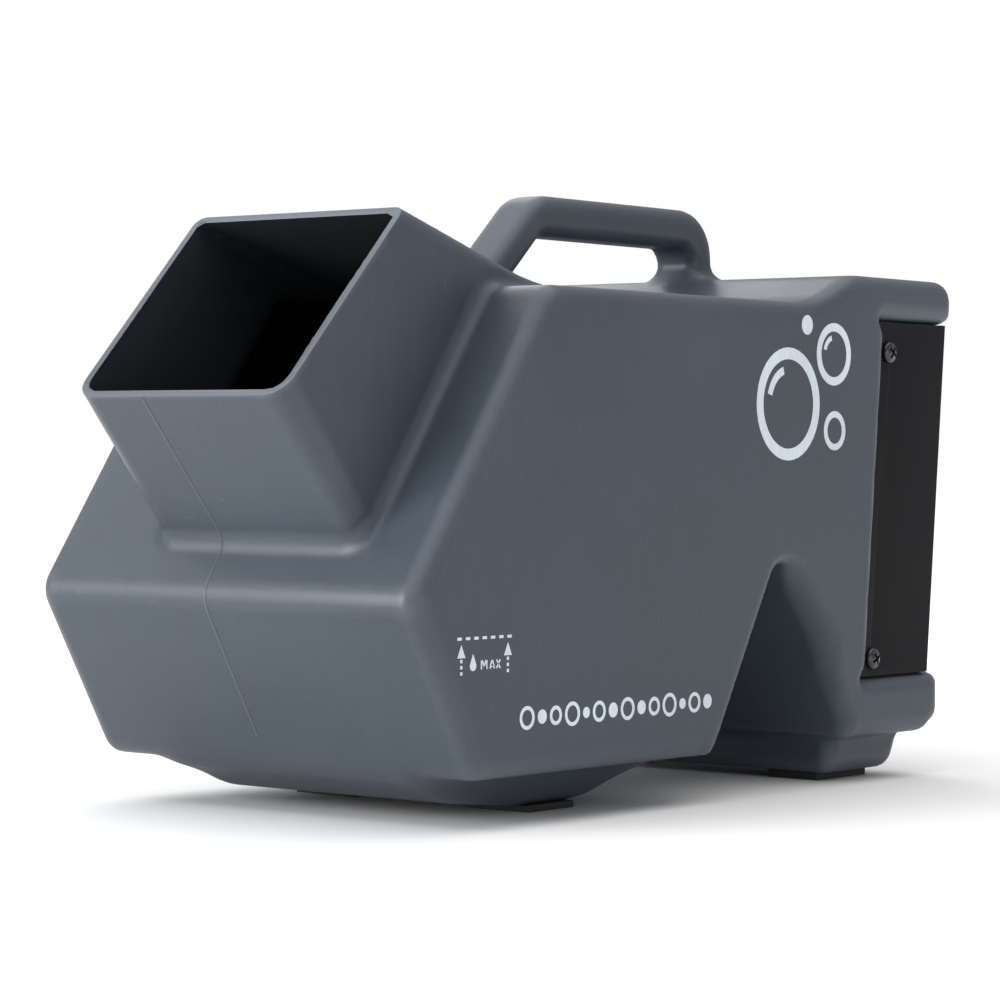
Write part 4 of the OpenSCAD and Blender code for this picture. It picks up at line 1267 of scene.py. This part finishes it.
class OBJECT_OT_bubble_inside(bpy.types.Operator):
    """Finishes the bubble wheels, their drive, the fan and the battery inside the housing"""

    bl_idname = "object.bubble_inside"
    bl_label = "Wheels, Drive, Fan and Battery"

    def execute(self, context):
        steel, sheet, black = bright_steel(), sheet_steel(), black_plastic()
        wrap = finish("Battery wrap", painted_effect(), context.scene.bubble_inside.battery_colour,
                      (0.2, 0.25, 0.35), edge_wear=0.15, rough=(0.25, 0.4),
                      coat=0.2)
        copper = finish("Copper winding", metal_effect(), (0.55, 0.2, 0.08), (0.25, 0.08, 0.04),
                        metallic=0.9, rough=(0.25, 0.4))
        looks = {
            "rear_plate": cover_paint(), "wheel_cradle": sheet, "battery_clamps": sheet,
            "rear_plate_screws": steel, "cradle_screws": steel, "cradle_nuts": steel,
            "motor_screws": steel, "fan_screws": steel, "fan_nuts": steel, "clamp_screws": steel,
            "wheel_shaft": steel, "shaft_collars": steel, "fan_guard": steel,
            "gearbox": motor_steel(), "drive_motor": motor_steel(),
            "shaft_bushes": gear_plastic(), "driven_gear": gear_plastic(),
            "motor_pinion": gear_plastic(), "bubble_wheel_left": wheel_plastic(),
            "bubble_wheel_right": wheel_plastic(), "fan_frame": black, "fan_impeller": black,
            "fan_stator": copper, "battery_pack": wrap,
        }
        for node, material in looks.items():
            dress_node(node, material)
        return {"FINISHED"}


# ---- Feet ----

class OBJECT_OT_bubble_feet(bpy.types.Operator):
    """Builds the rubber feet with rounded edges, and finishes their screws"""

    bl_idname = "object.bubble_feet"
    bl_label = "Feet"

    def execute(self, context):
        rubber = finish("Foot rubber", moulded_effect(), (0.012, 0.012, 0.013), (0.09, 0.09, 0.09),
                        bump=0.4, edge_wear=0.35, scuffs=0.35, rough=(0.65, 0.82), specular=0.3)
        softened("front_feet", 0.8, "soft_front_feet", "machine", rubber)
        softened("rear_feet", 1.0, "soft_rear_feet", "machine", rubber)
        dress_node("rear_foot_screws", bright_steel())
        return {"FINISHED"}


# ---- Stage ----

def stage_floor(colour):
    """A wide flat floor."""
    mesh = bpy.data.meshes.new("studio_floor")
    corners = ((-1, -1), (1, -1), (1, 1), (-1, 1))
    mesh.from_pydata([(x * FLOOR_REACH, y * FLOOR_REACH, 0) for x, y in corners],
                     [], [(0, 1, 2, 3)])
    floor = new_object("studio_floor", mesh)
    material = bpy.data.materials.new("Studio floor")
    material.use_nodes = True
    shader = material.node_tree.nodes["Principled BSDF"]
    shader.inputs["Base Color"].default_value = (*colour, 1)
    shader.inputs["Roughness"].default_value = 0.9
    shader.inputs["Specular IOR Level"].default_value = 0.1
    mesh.materials.append(material)


def overcast_sun(strength):
    """Even light from high in front, soft enough to leave only a contact shadow."""
    light = bpy.data.lights.new("overhead_light", "SUN")
    light.energy = strength
    light.angle = SUN_SPREAD
    new_object("overhead_light", light).rotation_euler = SUN_TURN


def softbox(name, place, size, power):
    """A rectangular light that faces the machine."""
    light = bpy.data.lights.new(name, "AREA")
    light.shape = "RECTANGLE"
    light.size, light.size_y = size
    light.energy = power
    lamp = new_object(name, light)
    lamp.location = place
    aim = Vector(LIGHT_TARGET) - Vector(place)
    lamp.rotation_euler = aim.to_track_quat("-Z", "Y").to_euler()


def add_camera(focal_length):
    """Camera in front and to the right of the machine, just above half its height."""
    azimuth, elevation, roll = (math.radians(a) for a in CAMERA_TURNS)
    back = Vector((math.sin(azimuth) * math.cos(elevation),
                   -math.cos(azimuth) * math.cos(elevation), math.sin(elevation)))
    level = Vector((math.cos(azimuth), math.sin(azimuth), 0))
    up = back.cross(level)
    right = math.cos(roll) * level + math.sin(roll) * up
    top = -math.sin(roll) * level + math.cos(roll) * up
    data = bpy.data.cameras.new("studio_camera")
    data.sensor_width = 36
    data.lens = focal_length
    camera = new_object("studio_camera", data)
    turn = Matrix((right, top, back)).transposed().to_4x4()
    camera.matrix_world = Matrix.Translation(CAMERA_PLACE) @ turn
    bpy.context.scene.camera = camera


def add_daylight(strength):
    """White light from all round, which the camera sees at full white."""
    world = bpy.data.worlds.new("studio_light")
    world.use_nodes = True
    graph = Graph(world.node_tree)
    sky = world.node_tree.nodes["Background"]
    sky.inputs["Color"].default_value = (1, 1, 1, 1)
    seen = graph.add("ShaderNodeLightPath").outputs["Is Camera Ray"]
    graph.link(graph.spread(seen, 0.0, 1.0, strength, 1.0), sky.inputs["Strength"])
    bpy.context.scene.world = world


class OBJECT_OT_bubble_stage(bpy.types.Operator):
    """Adds the studio floor, the soft lights and the camera"""

    bl_idname = "object.bubble_stage"
    bl_label = "Stage"

    def execute(self, context):
        look = context.scene.bubble_stage
        stage_floor(tuple(look.floor_colour))
        for name, place, size, power in SOFTBOXES:
            softbox(name, place, size, getattr(look, power))
        overcast_sun(look.top_strength)
        add_daylight(look.daylight)
        add_camera(look.focal_length)
        context.scene.view_settings.view_transform = "Standard"
        return {"FINISHED"}


# ---- Panel and registration ----

class VIEW3D_PT_bubble_machine(bpy.types.Panel):
    bl_label = "Bubble Machine"
    bl_idname = "VIEW3D_PT_bubble_machine"
    bl_space_type = "VIEW_3D"
    bl_region_type = "UI"
    bl_category = "Bubble Machine"

    def draw(self, context):
        column = self.layout.column()
        for operator in OPERATORS:
            column.operator(operator.bl_idname)
        for name in SETTINGS:
            group = getattr(context.scene, name)
            for key in group.__annotations__:
                column.prop(group, key)


OPERATORS = (OBJECT_OT_bubble_stage, OBJECT_OT_bubble_housing, OBJECT_OT_bubble_graphics,
             OBJECT_OT_bubble_cover, OBJECT_OT_bubble_controls, OBJECT_OT_bubble_inside,
             OBJECT_OT_bubble_feet)
SETTINGS = {
    "bubble_housing": HousingSettings,
    "bubble_cover": CoverSettings,
    "bubble_inside": InsideSettings,
    "bubble_stage": StageSettings,
}
CLASSES = (*SETTINGS.values(), *OPERATORS, VIEW3D_PT_bubble_machine)


def register():
    for item in CLASSES:
        bpy.utils.register_class(item)
    for name, group in SETTINGS.items():
        setattr(bpy.types.Scene, name, PointerProperty(type=group))


def unregister():
    for name in SETTINGS:
        delattr(bpy.types.Scene, name)
    for item in reversed(CLASSES):
        bpy.utils.unregister_class(item)


def main():
    register()
    bpy.ops.object.bubble_stage()
    bpy.ops.object.bubble_housing()
    bpy.ops.object.bubble_graphics()
    bpy.ops.object.bubble_cover()
    bpy.ops.object.bubble_controls()
    bpy.ops.object.bubble_inside()
    bpy.ops.object.bubble_feet()


if __name__ == "__main__":
    main()
